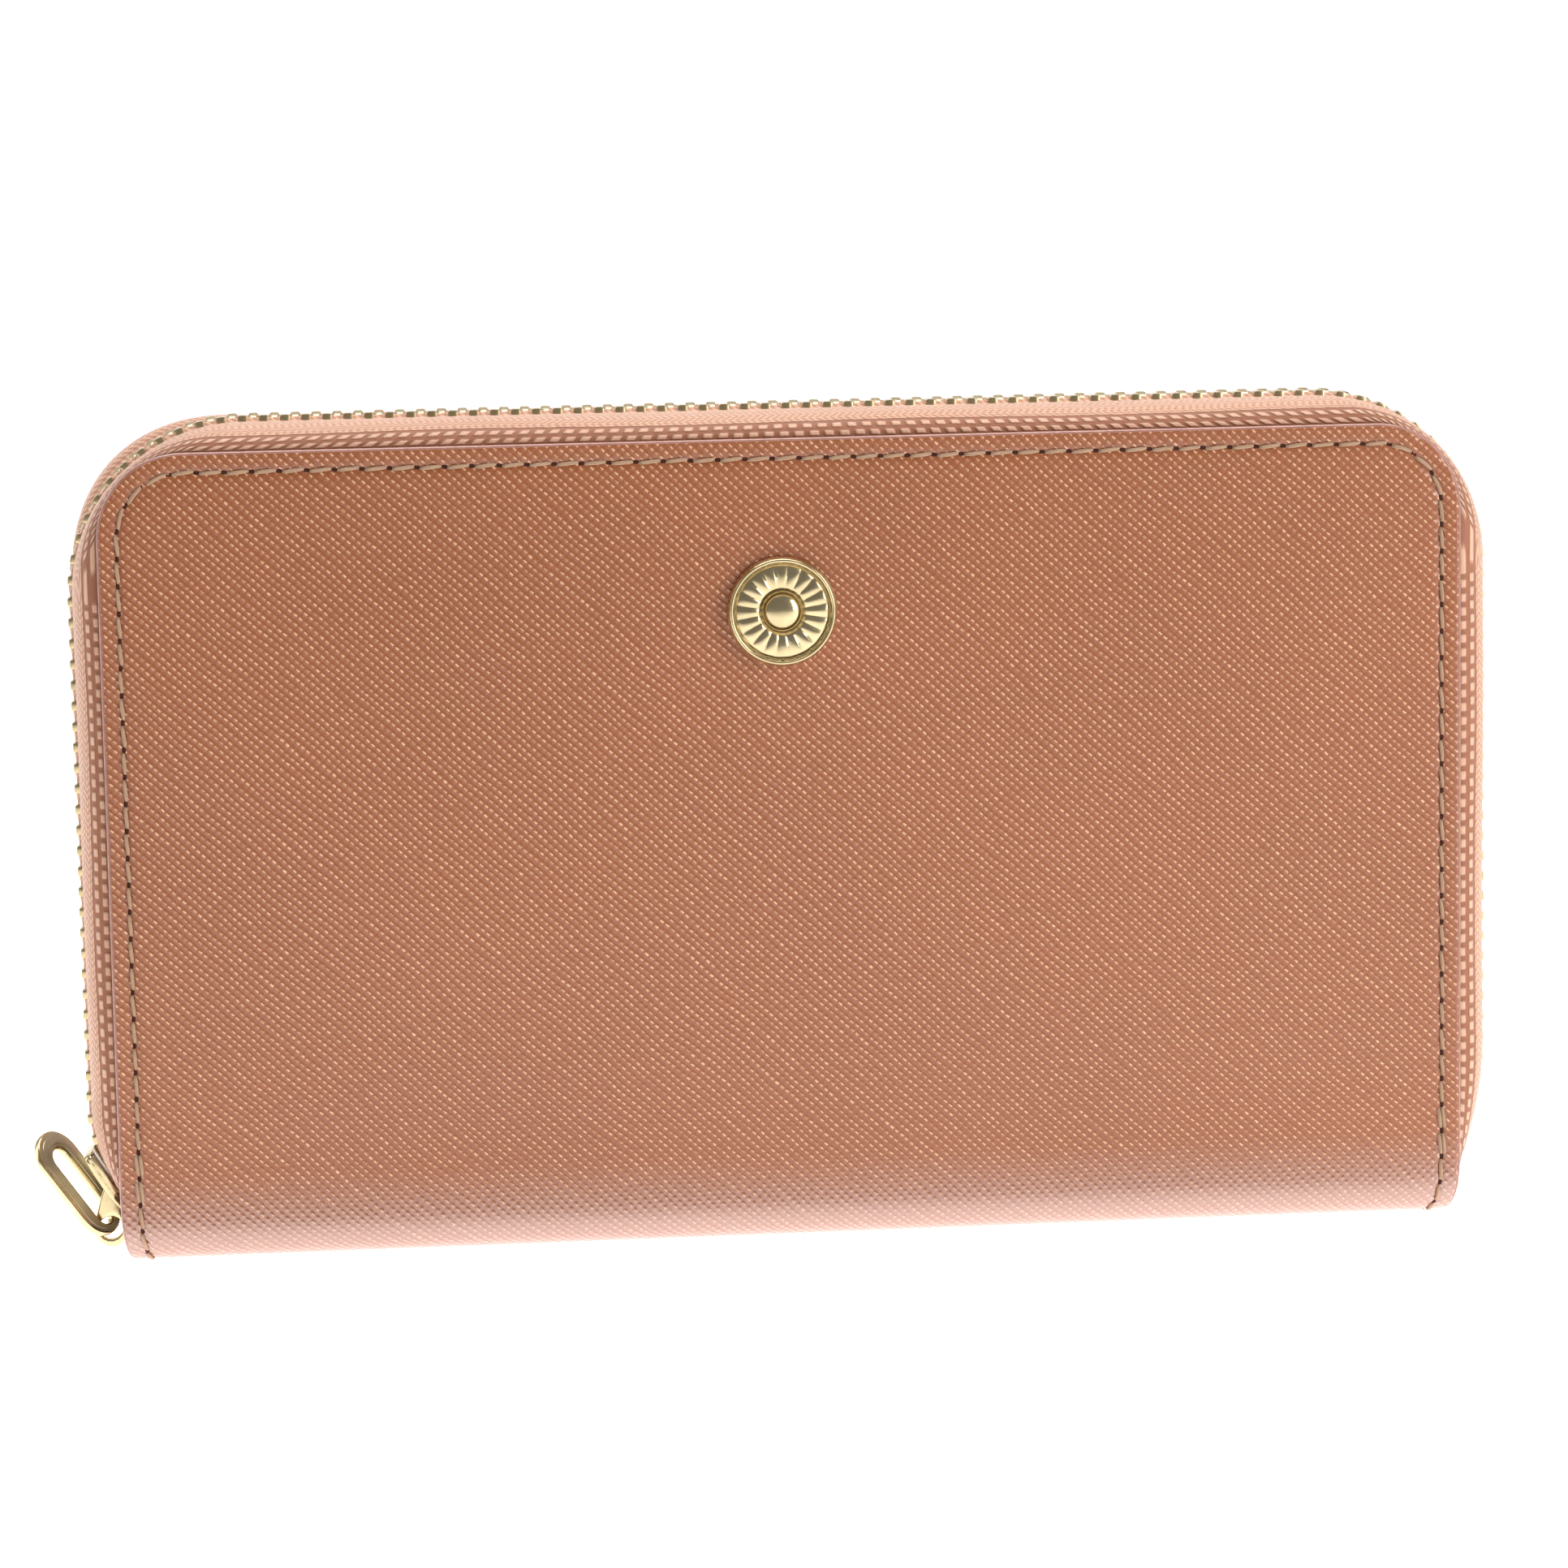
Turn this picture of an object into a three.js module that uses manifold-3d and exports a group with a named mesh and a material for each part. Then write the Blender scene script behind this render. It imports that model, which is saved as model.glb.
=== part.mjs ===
// Zip around wallet: a stiffened leather wrap that stands on its spine, closed on three sides
// by a metal zip, with a zipped coin pocket between two pleated note compartments.
// Millimetres, +Z up, +X to the wallet's right, front cover towards -Y.
// The origin is the middle of the spine's flat underside.

import * as THREE from "three";
import { mergeVertices } from "three/addons/utils/BufferGeometryUtils.js";
import Module from "manifold-3d";

const wasm = await Module();
wasm.setup();

// ---- driving dimensions ----
const coverWidth = 185;
const coverHeight = 110.7;
const depth = 24.6;
const coverCorner = 11.5;
const foldRadius = 6;
const leather = 1.2;
const gap = 0.3;
const foldHeight = 9;

const board = 0.6;
const lining = 0.4;
const slotSheet = 0.3;
const slotLayers = 3;
const seamInset = 5.6;

const zipReachLeft = 4.7;
const zipReachRight = 5.6;
const zipReachTop = 4.4;
const zipCorner = 23;
const toothPitch = 2.84;
const toothLength = 1.5;
const toothThickness = 2.4;
const chainBase = 3.1;
const chainRoot = 2.2;
const chainTip = 0.55;
const tape = 0.6;
const endCurveLeft = { radius: 21, height: 21.8 };
const endCurveRight = { radius: 40, height: 24 };
const zipSplitHeight = 27;

const sliderTilt = THREE.MathUtils.degToRad(31);
const sliderLength = 9.5;
const sliderWidth = 8.8;
const pullerLean = THREE.MathUtils.degToRad(35);
const pullerCock = THREE.MathUtils.degToRad(28);
const pullerLength = 16.8;
const pullerWidth = 8.8;
const pullerBand = 2.8;
const pullerBar = 1.4;
const pullerThickness = 1.1;
const bailHole = 1.7;
const bailStrap = 1.6;

const emblemCentre = { x: -0.9, z: 87.5 };
const emblemRadius = 7.5;
const emblemPostSpacing = 8;

const pocketWidth = 160;
const pocketTop = 84;
const pocketBottom = 4.6;
const pocketHalfGap = 2.15;
const pocketWall = 0.45;
const coinPitch = 2.5;

// ---- sizes worked out from them ----
const halfWidth = coverWidth / 2;
const halfDepth = depth / 2;
const coverInner = halfDepth - leather;
const boardOuter = coverInner - gap;
const boardInner = boardOuter - board;
const liningOuter = boardInner - gap;
const liningInner = liningOuter - lining;
const slipOuter = liningInner - gap;
const slipInner = slipOuter - lining;
const chainHalf = toothThickness / 2;
const panelBottom = foldHeight + gap;

// ---- materials ----
const finishes = {
  leather: { color: 0xb9703f, roughness: 0.55, metalness: 0 },
  lining: { color: 0x9a6a45, roughness: 0.8, metalness: 0 },
  board: { color: 0xc9bfae, roughness: 0.9, metalness: 0 },
  tape: { color: 0xb87a4e, roughness: 0.85, metalness: 0 },
  gold: { color: 0xcdb678, roughness: 0.25, metalness: 1 },
  steel: { color: 0x9c9c98, roughness: 0.4, metalness: 1 },
};

const wallet = new THREE.Group();
const sides = [["front", -1], ["back", 1]];
const ends = [["left", -1], ["right", 1]];

function add(name, geometry, finish) {
  const mesh = new THREE.Mesh(geometry, new THREE.MeshStandardMaterial(finishes[finish]));
  mesh.name = name;
  wallet.add(mesh);
  return mesh;
}

// ---- geometry helpers ----

function extruded(shape, thickness, curveSegments = 6) {
  return new THREE.ExtrudeGeometry(shape, { depth: thickness, bevelEnabled: false, curveSegments });
}

// A shape drawn in Y and Z, made solid along X from the YZ plane.
function extrudedAlongX(shape, thickness, curveSegments) {
  const turn = new THREE.Matrix4().makeBasis(
    new THREE.Vector3(0, 1, 0),
    new THREE.Vector3(0, 0, 1),
    new THREE.Vector3(1, 0, 0),
  );
  return extruded(shape, thickness, curveSegments).applyMatrix4(turn);
}

// A strap of the given width along Y, drawn edge-on in X and Z.
function strap(shape, width) {
  return extruded(shape, width).rotateX(Math.PI / 2).translate(0, width / 2, 0);
}

// A flat shape drawn in X and Z, made solid between two Y planes.
function slab(name, shape, yLow, yHigh, finish) {
  const mesh = add(name, extruded(shape, yHigh - yLow), finish);
  mesh.rotation.x = Math.PI / 2;
  mesh.position.y = yHigh;
  return mesh;
}

// The same, for a layer given by its distances from the middle plane on one side (-1 front, 1 back).
function layer(name, shape, side, inner, outer, finish) {
  const [low, high] = side < 0 ? [-outer, -inner] : [inner, outer];
  return slab(name, shape, low, high, finish);
}

function boxGeometry(low, high) {
  const size = high.map((value, i) => value - low[i]);
  const middle = high.map((value, i) => (value + low[i]) / 2);
  return new THREE.BoxGeometry(...size).translate(...middle);
}

function box(name, low, high, finish) {
  return add(name, boxGeometry(low, high), finish);
}

// Holes need their outline to run anticlockwise, so a polygon always does.
function polygon(points) {
  const outline = points.map(([a, b]) => new THREE.Vector2(a, b));
  if (THREE.ShapeUtils.isClockWise(outline)) outline.reverse();
  return new THREE.Shape(outline);
}

function circleHole(x, z, radius, sides) {
  const path = new THREE.Path();
  for (let i = 0; i < sides; i++) {
    const angle = (-2 * Math.PI * i) / sides;
    const px = x + radius * Math.cos(angle);
    const pz = z + radius * Math.sin(angle);
    if (i === 0) path.moveTo(px, pz);
    else path.lineTo(px, pz);
  }
  return path;
}

// A rectangle with its two upper corners rounded.
function panelShape(halfW, bottom, top, radius) {
  const shape = new THREE.Shape();
  shape.moveTo(-halfW, bottom);
  shape.lineTo(halfW, bottom);
  shape.absarc(halfW - radius, top - radius, radius, 0, Math.PI / 2, false);
  shape.absarc(-halfW + radius, top - radius, radius, Math.PI / 2, Math.PI, false);
  return shape;
}

// Triangles from quads whose corners run the same way round; the whole is flipped if inside out.
function solidFromQuads(quads) {
  const points = [];
  for (const [a, b, c, d] of quads) points.push(a, b, c, a, c, d);
  let volume = 0;
  for (let i = 0; i < points.length; i += 3) {
    volume += points[i].dot(points[i + 1].clone().cross(points[i + 2]));
  }
  if (volume < 0) points.reverse();
  const geometry = new THREE.BufferGeometry().setFromPoints(points);
  return mergeVertices(geometry, 1e-4);
}

// A closed solid through a row of sections, each a ring of the same number of points.
function loft(rings) {
  const quads = [];
  const count = rings[0].length;
  for (let i = 0; i + 1 < rings.length; i++) {
    for (let k = 0; k < count; k++) {
      const next = (k + 1) % count;
      quads.push([rings[i][k], rings[i][next], rings[i + 1][next], rings[i + 1][k]]);
    }
  }
  const half = count / 2;
  const first = rings[0];
  const last = rings[rings.length - 1];
  for (let k = 0; k + 1 < half; k++) {
    quads.push([first[k], first[count - 1 - k], first[count - 2 - k], first[k + 1]]);
    quads.push([last[k + 1], last[count - 2 - k], last[count - 1 - k], last[k]]);
  }
  return solidFromQuads(quads);
}

function toManifold(geometry) {
  const bare = geometry.index ? geometry.toNonIndexed() : geometry.clone();
  bare.deleteAttribute("normal");
  bare.deleteAttribute("uv");
  const merged = mergeVertices(bare, 1e-4);
  return new wasm.Manifold(new wasm.Mesh({
    numProp: 3,
    vertProperties: new Float32Array(merged.attributes.position.array),
    triVerts: new Uint32Array(merged.index.array),
  }));
}

function fromManifold(solid) {
  const mesh = solid.getMesh();
  const geometry = new THREE.BufferGeometry();
  geometry.setAttribute("position", new THREE.BufferAttribute(mesh.vertProperties, 3));
  geometry.setIndex(new THREE.BufferAttribute(mesh.triVerts, 1));
  return geometry;
}

function union(geometries) {
  const solids = geometries.map(toManifold);
  return fromManifold(solids.reduce((whole, piece) => whole.add(piece)));
}

// ---- the zip's path ----

// Each station has the chain's centre, the outward direction there, and the point of the
// cover's edge beside it, all in X and Z. They run from the left end over the top to the right.
const chainLeft = -(halfWidth + zipReachLeft - chainHalf);
const chainRight = halfWidth + zipReachRight - chainHalf;
const chainTop = coverHeight + zipReachTop - chainHalf;
const leastReach = 0.2;

function station(x, z, nx, nz, edgeX, edgeZ) {
  return { x, z, nx, nz, edgeX, edgeZ };
}

// The end of the zip curls in towards the spine: angle 0 is where the straight side begins.
function endStation(side, angle) {
  const curve = side < 0 ? endCurveLeft : endCurveRight;
  const straight = side < 0 ? chainLeft : chainRight;
  const centreX = straight - side * curve.radius;
  const x = centreX + side * curve.radius * Math.cos(angle);
  const z = curve.height - curve.radius * Math.sin(angle);
  const reach = Math.max(side * x - halfWidth - gap, leastReach);
  const edgeX = x - side * reach * Math.cos(angle);
  const edgeZ = z + reach * Math.sin(angle);
  return station(x, z, side * Math.cos(angle), -Math.sin(angle), edgeX, edgeZ);
}

function sideStation(side, z) {
  const straight = side < 0 ? chainLeft : chainRight;
  return station(straight, z, side, 0, side * halfWidth, z);
}

function cornerStation(side, angle) {
  const straight = side < 0 ? chainLeft : chainRight;
  const c = Math.cos(angle);
  const s = Math.sin(angle);
  const chainX = straight - side * zipCorner * (1 - c);
  const chainZ = chainTop - zipCorner * (1 - s);
  const edgeX = side * (halfWidth - coverCorner * (1 - c));
  const edgeZ = coverHeight - coverCorner * (1 - s);
  return station(chainX, chainZ, side * c, s, edgeX, edgeZ);
}

function topStation(x) {
  const share = (x - (chainLeft + zipCorner)) / (chainRight - chainLeft - 2 * zipCorner);
  const edgeX = (share * 2 - 1) * (halfWidth - coverCorner);
  return station(x, chainTop, 0, 1, edgeX, coverHeight);
}

// Arc length along the chain of one cover, and the station at any length.
const sideRun = chainTop - zipCorner - zipSplitHeight;
const cornerRun = (zipCorner * Math.PI) / 2;
const topRun = chainRight - chainLeft - 2 * zipCorner;
const chainRun = 2 * sideRun + 2 * cornerRun + topRun;

function coverStation(length) {
  let rest = length;
  if (rest <= sideRun) return sideStation(-1, zipSplitHeight + rest);
  rest -= sideRun;
  if (rest <= cornerRun) return cornerStation(-1, rest / zipCorner);
  rest -= cornerRun;
  if (rest <= topRun) return topStation(chainLeft + zipCorner + rest);
  rest -= topRun;
  if (rest <= cornerRun) return cornerStation(1, Math.PI / 2 - rest / zipCorner);
  rest -= cornerRun;
  return sideStation(1, chainTop - zipCorner - rest);
}

// The short end of the zip that stays with the spine, from its lowest tooth upwards.
function tailStation(side, lowAngle, length) {
  const curve = side < 0 ? endCurveLeft : endCurveRight;
  const curved = lowAngle * curve.radius;
  if (length < curved) return endStation(side, lowAngle - length / curve.radius);
  const z = curve.height + length - curved;
  const straight = side < 0 ? chainLeft : chainRight;
  return station(straight, z, side, 0, side * (halfWidth + gap), z);
}

function place(at, outward, y) {
  return new THREE.Vector3(at.x + at.nx * outward, y, at.z + at.nz * outward);
}

// ---- zip teeth ----

// One side of a chain as a single comb: a base strip with a tooth at every pitch.
function combGeometry(side, run, stationAt, sizes) {
  const teeth = Math.floor((run - sizes.tooth) / sizes.pitch) + 1;
  const margin = (run - (teeth - 1) * sizes.pitch - sizes.tooth) / 2;
  const cuts = [];
  for (let i = 0; i < teeth; i++) {
    const start = margin + i * sizes.pitch;
    cuts.push(start, start + sizes.tooth);
  }
  const rows = cuts.map((length) => {
    const at = stationAt(length);
    const corner = (outward, y) => place(at, outward, side * y);
    return {
      baseOut: corner(sizes.half, sizes.base),
      baseIn: corner(-sizes.half, sizes.base),
      rootOut: corner(sizes.half, sizes.root),
      rootIn: corner(-sizes.half, sizes.root),
      tipOut: corner(sizes.half, sizes.tip),
      tipIn: corner(-sizes.half, sizes.tip),
    };
  });
  const quads = [];
  for (let i = 0; i + 1 < rows.length; i++) {
    const a = rows[i];
    const b = rows[i + 1];
    quads.push([a.baseOut, a.baseIn, b.baseIn, b.baseOut]);
    quads.push([a.rootOut, a.baseOut, b.baseOut, b.rootOut]);
    quads.push([a.baseIn, a.rootIn, b.rootIn, b.baseIn]);
    if (i % 2 === 0) {
      quads.push([a.tipOut, a.rootOut, b.rootOut, b.tipOut]);
      quads.push([a.rootIn, a.tipIn, b.tipIn, b.rootIn]);
      quads.push([a.tipIn, a.tipOut, b.tipOut, b.tipIn]);
      quads.push([a.rootOut, a.tipOut, a.tipIn, a.rootIn]);
      quads.push([b.tipOut, b.rootOut, b.rootIn, b.tipIn]);
    } else {
      quads.push([a.rootIn, a.rootOut, b.rootOut, b.rootIn]);
    }
  }
  const first = rows[0];
  const last = rows[rows.length - 1];
  quads.push([first.baseOut, first.rootOut, first.rootIn, first.baseIn]);
  quads.push([last.rootOut, last.baseOut, last.baseIn, last.rootIn]);
  return solidFromQuads(quads);
}

const mainTeeth = {
  pitch: toothPitch,
  tooth: toothLength,
  half: chainHalf,
  base: chainBase,
  root: chainRoot,
  tip: chainTip,
};

// ---- zip tape ----

// The tape leaves the teeth flat, rounds the wallet's edge as a quarter ellipse and, where it
// is sewn, ends in a flat flange under the cover.
function tapeRing(at, side, flange, steps) {
  const inner = chainBase + gap;
  const outer = boardOuter;
  const outside = [];
  const inside = [];
  if (flange > 0) {
    const fx = at.edgeX - at.nx * flange;
    const fz = at.edgeZ - at.nz * flange;
    outside.push(new THREE.Vector3(fx, side * outer, fz));
    inside.push(new THREE.Vector3(fx, side * (outer - tape), fz));
  }
  for (let i = 0; i <= steps; i++) {
    const turn = (i / steps) * (Math.PI / 2);
    const s = Math.sin(turn);
    const c = Math.cos(turn);
    const x = at.edgeX + (at.x - at.edgeX) * s;
    const z = at.edgeZ + (at.z - at.edgeZ) * s;
    const half = tape / 2;
    const yOut = inner + (outer - inner) * c;
    const yIn = inner + (outer - tape - inner) * c;
    outside.push(new THREE.Vector3(x + at.nx * half * s, side * yOut, z + at.nz * half * s));
    inside.push(new THREE.Vector3(x - at.nx * half * s, side * yIn, z - at.nz * half * s));
  }
  return outside.concat(inside.reverse());
}

function coverTape(side) {
  const runs = [[sideRun, 2], [cornerRun, 8], [topRun, 3], [cornerRun, 8], [sideRun, 2]];
  const lengths = [0];
  let start = 0;
  for (const [run, steps] of runs) {
    for (let i = 1; i <= steps; i++) lengths.push(start + (run * i) / steps);
    start += run;
  }
  return loft(lengths.map((length) => tapeRing(coverStation(length), side, seamInset, 5)));
}

// How far round its end curve each tail's lowest tooth and its tape reach.
function tailEnd(side, teethDegrees, tapeDegrees) {
  const teethAngle = THREE.MathUtils.degToRad(teethDegrees);
  const tapeAngle = THREE.MathUtils.degToRad(tapeDegrees);
  return { side, teethAngle, tapeAngle };
}

const tailEnds = { left: tailEnd(-1, 16.5, 46), right: tailEnd(1, 15, 27) };

function tailRun(end, angle) {
  const curve = end.side < 0 ? endCurveLeft : endCurveRight;
  return angle * curve.radius + zipSplitHeight - gap - curve.height;
}

function tailTape(end, side) {
  const run = tailRun(end, end.tapeAngle);
  const steps = 8;
  const rings = [];
  for (let i = 0; i <= steps; i++) {
    const at = tailStation(end.side, end.tapeAngle, (run * i) / steps);
    rings.push(tapeRing(at, side, 0, 4));
  }
  return loft(rings);
}

function zip() {
  for (const [label, side] of sides) {
    add(`zip_tape_${label}`, coverTape(side), "tape");
    add(`zip_teeth_${label}`, combGeometry(side, chainRun, coverStation, mainTeeth), "gold");
    for (const [endLabel, end] of Object.entries(tailEnds)) {
      const run = tailRun(end, end.teethAngle);
      const at = (length) => tailStation(end.side, end.teethAngle, length);
      add(`zip_end_tape_${endLabel}_${label}`, tailTape(end, side), "tape");
      add(`zip_end_teeth_${endLabel}_${label}`, combGeometry(side, run, at, mainTeeth), "gold");
    }
  }
}

// The retaining box that joins the two chains below the last right-hand tooth.
function bottomStop() {
  const at = endStation(1, tailEnds.right.teethAngle);
  const length = 2.4;
  const geometry = boxGeometry([-chainHalf, -chainBase, -length], [chainHalf, chainBase, 0]);
  const mesh = add("zip_bottom_stop", geometry, "gold");
  mesh.position.set(at.x, 0, at.z);
  mesh.rotation.y = tailEnds.right.teethAngle;
  mesh.translateZ(-gap);
}

// ---- slider and puller ----

// Local frame: Z up along the chain, X inwards, origin on the chain's centre.
const sliderAt = endStation(-1, sliderTilt);
const outerClearance = 0.4;
const innerClearance = 0.85;
const plate = 1.1;
const plateOut = -(chainHalf + outerClearance + plate);
const plateIn = chainHalf + innerClearance;
const pivot = { x: -5.4, z: -6.0 };

// The slider's plate, seen along X: straight sides that taper to the nose.
function sliderOutline() {
  const halfL = sliderLength / 2;
  const halfW = sliderWidth / 2;
  const nose = 2.6;
  const taper = 2.4;
  return polygon([
    [-nose, -halfL],
    [nose, -halfL],
    [halfW, -halfL + taper],
    [halfW, halfL],
    [-halfW, halfL],
    [-halfW, -halfL + taper],
  ]);
}

// Lips along both edges of the two plates keep the chain in; tape passes between them.
function sliderLips() {
  const halfL = sliderLength / 2;
  const halfW = sliderWidth / 2;
  const lip = 0.6;
  const lipStart = -halfL + 2.6;
  const outLip = -0.8;
  const inLip = 1.15;
  const lips = [];
  for (const edge of [-halfW, halfW - lip]) {
    lips.push(boxGeometry([plateOut + plate / 2, edge, lipStart], [outLip, edge + lip, halfL]));
    lips.push(boxGeometry([inLip, edge, lipStart], [plateIn + plate / 2, edge + lip, halfL]));
  }
  return lips;
}

// The wedge between the plates that parts the two chains.
function sliderWedge() {
  const half = 0.25;
  const low = -sliderLength / 2 + 0.2;
  const length = 3;
  return boxGeometry([plateOut + plate / 2, -half, low], [plateIn + plate / 2, half, low + length]);
}

// The bail is a strap loop that runs past the slider's nose and holds the puller.
function sliderBail() {
  const root = plateOut + plate / 2;
  const round = [[2.2, 1.1], [1.75, -1.5], [0, -2.8], [-1.7, -2.15], [-2.45, -0.2], [-1.5, 1.9]];
  const loop = polygon([
    [root, -0.6],
    [root, -3.6],
    ...round.map(([x, z]) => [pivot.x + x, pivot.z + z]),
    [-4.2, -1.6],
  ]);
  loop.holes.push(circleHole(pivot.x, pivot.z, bailHole, 16));
  return strap(loop, bailStrap);
}

function slider() {
  const outline = sliderOutline();
  const plates = [plateOut, plateIn].map((x) => extrudedAlongX(outline, plate).translate(x, 0, 0));
  const pieces = [...plates, sliderWedge(), ...sliderLips(), sliderBail()];
  const mesh = add("slider_body", union(pieces), "gold");
  mesh.position.set(sliderAt.x, 0, sliderAt.z);
  mesh.rotation.y = -sliderTilt;
}

const pullerPivot = new THREE.Vector3(pivot.x, 0, pivot.z)
  .applyAxisAngle(new THREE.Vector3(0, 1, 0), -sliderTilt)
  .add(new THREE.Vector3(sliderAt.x, 0, sliderAt.z));

// A flat oblong ring whose lower end is the bar held in the bail.
function puller() {
  const outer = pullerWidth / 2;
  const inner = outer - pullerBand;
  const below = pullerBar / 2;
  const top = pullerLength - below;
  const outline = new THREE.Shape();
  outline.absarc(0, outer - below, outer, Math.PI, 2 * Math.PI, false);
  outline.absarc(0, top - outer, outer, 0, Math.PI, false);
  const hole = new THREE.Path();
  hole.absarc(0, inner + below, inner, 2 * Math.PI, Math.PI, true);
  hole.absarc(0, top - pullerBand - inner, inner, Math.PI, 0, true);
  outline.holes.push(hole);
  const geometry = extrudedAlongX(outline, pullerThickness, 10);
  geometry.translate(-pullerThickness / 2, 0, 0).rotateZ(-pullerCock);
  const mesh = add("puller_ring", geometry, "gold");
  mesh.position.copy(pullerPivot);
  mesh.rotation.y = -pullerLean;
}

// ---- covers and what is sewn into them ----

const emblemPosts = [-1, 1].map((end) => emblemCentre.x + (end * emblemPostSpacing) / 2);
const postRadius = 0.9;
const postHole = 1.2;

// How far each layer of a cover stops short of the leather's edges: sides, bottom, top, corner.
const boardInset = { side: seamInset + 0.9, bottom: 2, top: seamInset + 0.9, corner: 6 };
const liningInset = { side: 1.5, bottom: 1, top: 1.5, corner: 10 };
const slipInset = { side: 11, bottom: 2, top: 12, corner: 1 };
const slotInset = { side: 12.5, bottom: 3, top: 20, corner: 1 };
const slotStep = 14;

function insetPanel({ side, bottom, top, corner }, lower = 0) {
  return panelShape(halfWidth - side, panelBottom + bottom, coverHeight - top - lower, corner);
}

function coverHalf(label, side) {
  const cover = panelShape(halfWidth, panelBottom, coverHeight, coverCorner);
  const stiffener = insetPanel(boardInset);
  if (side < 0) {
    for (const x of emblemPosts) cover.holes.push(circleHole(x, emblemCentre.z, postHole, 8));
    stiffener.holes.push(emblemWindow());
  }
  layer(`cover_${label}`, cover, side, coverInner, halfDepth, "leather");
  layer(`board_${label}`, stiffener, side, boardInner, boardOuter, "board");
  layer(`lining_${label}`, insetPanel(liningInset), side, liningInner, liningOuter, "lining");
  layer(`slip_pocket_${label}`, insetPanel(slipInset), side, slipInner, slipOuter, "leather");
  for (let i = 0; i < slotLayers; i++) {
    const outer = slipInner - gap - i * (slotSheet + gap);
    const sheet = insetPanel(slotInset, i * slotStep);
    layer(`card_slot_${label}_${i + 1}`, sheet, side, outer - slotSheet, outer, "leather");
  }
}

const emblemPlate = { halfX: 6.5, halfZ: 3, slack: 0.1 };

function emblemWindow() {
  const reachX = emblemPlate.halfX + 0.5;
  const reachZ = emblemPlate.halfZ + 0.5;
  const { x, z } = emblemCentre;
  const window = new THREE.Path();
  window.moveTo(x - reachX, z - reachZ);
  window.lineTo(x - reachX, z + reachZ);
  window.lineTo(x + reachX, z + reachZ);
  window.lineTo(x + reachX, z - reachZ);
  return window;
}

// A plain round medallion with a raised rim and two posts through the leather.
function emblem() {
  const back = -halfDepth - gap;
  const profile = [
    [0, back - 1.6],
    [2.6, back - 1.1],
    [emblemRadius - 1.7, back - 1.1],
    [emblemRadius - 1.3, back - 1.5],
    [emblemRadius - 0.5, back - 1.5],
    [emblemRadius, back - 1.1],
    [emblemRadius, back],
    [0, back],
  ];
  const disc = new THREE.LatheGeometry(profile.map(([r, y]) => new THREE.Vector2(r, y)), 24);
  const sunk = 0.4;
  const low = back - sunk;
  const high = -boardInner;
  const posts = emblemPosts.map((x) => {
    const post = new THREE.CylinderGeometry(postRadius, postRadius, high - low, 8);
    return post.translate(x - emblemCentre.x, (high + low) / 2, 0);
  });
  const mesh = add("emblem", union([disc, ...posts]), "gold");
  mesh.position.set(emblemCentre.x, 0, emblemCentre.z);
}

// The thin steel plate that holds the posts, in a window of the stiffener.
function emblemBacking() {
  const { halfX, halfZ, slack } = emblemPlate;
  const { x, z } = emblemCentre;
  const corners = [[-halfX, -halfZ], [halfX, -halfZ], [halfX, halfZ], [-halfX, halfZ]];
  const shape = polygon(corners.map(([u, v]) => [x + u, z + v]));
  for (const post of emblemPosts) shape.holes.push(circleHole(post, z, postHole, 8));
  layer("emblem_plate", shape, -1, boardInner + slack, boardOuter - slack, "steel");
}

// ---- spine ----

function spine() {
  const r = foldRadius;
  const flat = halfDepth - r;
  const inner = r - leather;
  const shape = new THREE.Shape();
  shape.moveTo(-coverInner, foldHeight);
  shape.lineTo(-halfDepth, foldHeight);
  shape.absarc(-flat, r, r, Math.PI, 1.5 * Math.PI, false);
  shape.absarc(flat, r, r, 1.5 * Math.PI, 2 * Math.PI, false);
  shape.lineTo(halfDepth, foldHeight);
  shape.lineTo(coverInner, foldHeight);
  shape.absarc(flat, r, inner, 0, -Math.PI / 2, true);
  shape.absarc(-flat, r, inner, -Math.PI / 2, -Math.PI, true);
  add("spine_cover", extrudedAlongX(shape, coverWidth).translate(-halfWidth, 0, 0), "leather");
  const reach = halfWidth - 4.5;
  const boardLow = leather + gap;
  const liningLow = boardLow + board + gap;
  const liningHalf = flat + 2;
  box("spine_board", [-reach, -flat, boardLow], [reach, flat, boardLow + board], "board");
  box("spine_lining", [-reach, -liningHalf, liningLow], [reach, liningHalf, liningLow + lining], "lining");
}

// ---- coin pocket ----

const pocketHalf = pocketWidth / 2;
const pocketChamber = pocketHalfGap - gap;
const coinTeeth = { pitch: coinPitch, tooth: 1.3, half: 0.9, base: 1.85, root: 1.3, tip: 0.45 };
const coinChainLow = pocketTop + 4.2;
const coinChainHigh = coinChainLow + 2 * coinTeeth.half;
const coinChainMid = coinChainLow + coinTeeth.half;
const coinChainHalfRun = pocketHalf - 5;

function coinSide(label, side) {
  const outer = pocketHalfGap + pocketWall;
  const wall = panelShape(pocketHalf, pocketBottom, pocketTop, 0.8);
  layer(`coin_wall_${label}`, wall, side, pocketHalfGap, outer, "lining");
  const strip = panelShape(pocketHalf - 1, pocketTop + gap, coinChainHigh, 0.8);
  layer(`coin_tape_${label}`, strip, side, pocketHalfGap, outer, "tape");
  const along = (length) => station(length - coinChainHalfRun, coinChainMid, 0, 1, 0, 0);
  const comb = combGeometry(side, 2 * coinChainHalfRun, along, coinTeeth);
  add(`coin_teeth_${label}`, comb, "gold");
}

// A box between two distances from the middle, at one end of the pocket.
function coinEndBox(name, end, near, far, halfY, zLow, zHigh, finish) {
  const [xLow, xHigh] = end < 0 ? [-far, -near] : [near, far];
  box(name, [xLow, -halfY, zLow], [xHigh, halfY, zHigh], finish);
}

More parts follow.
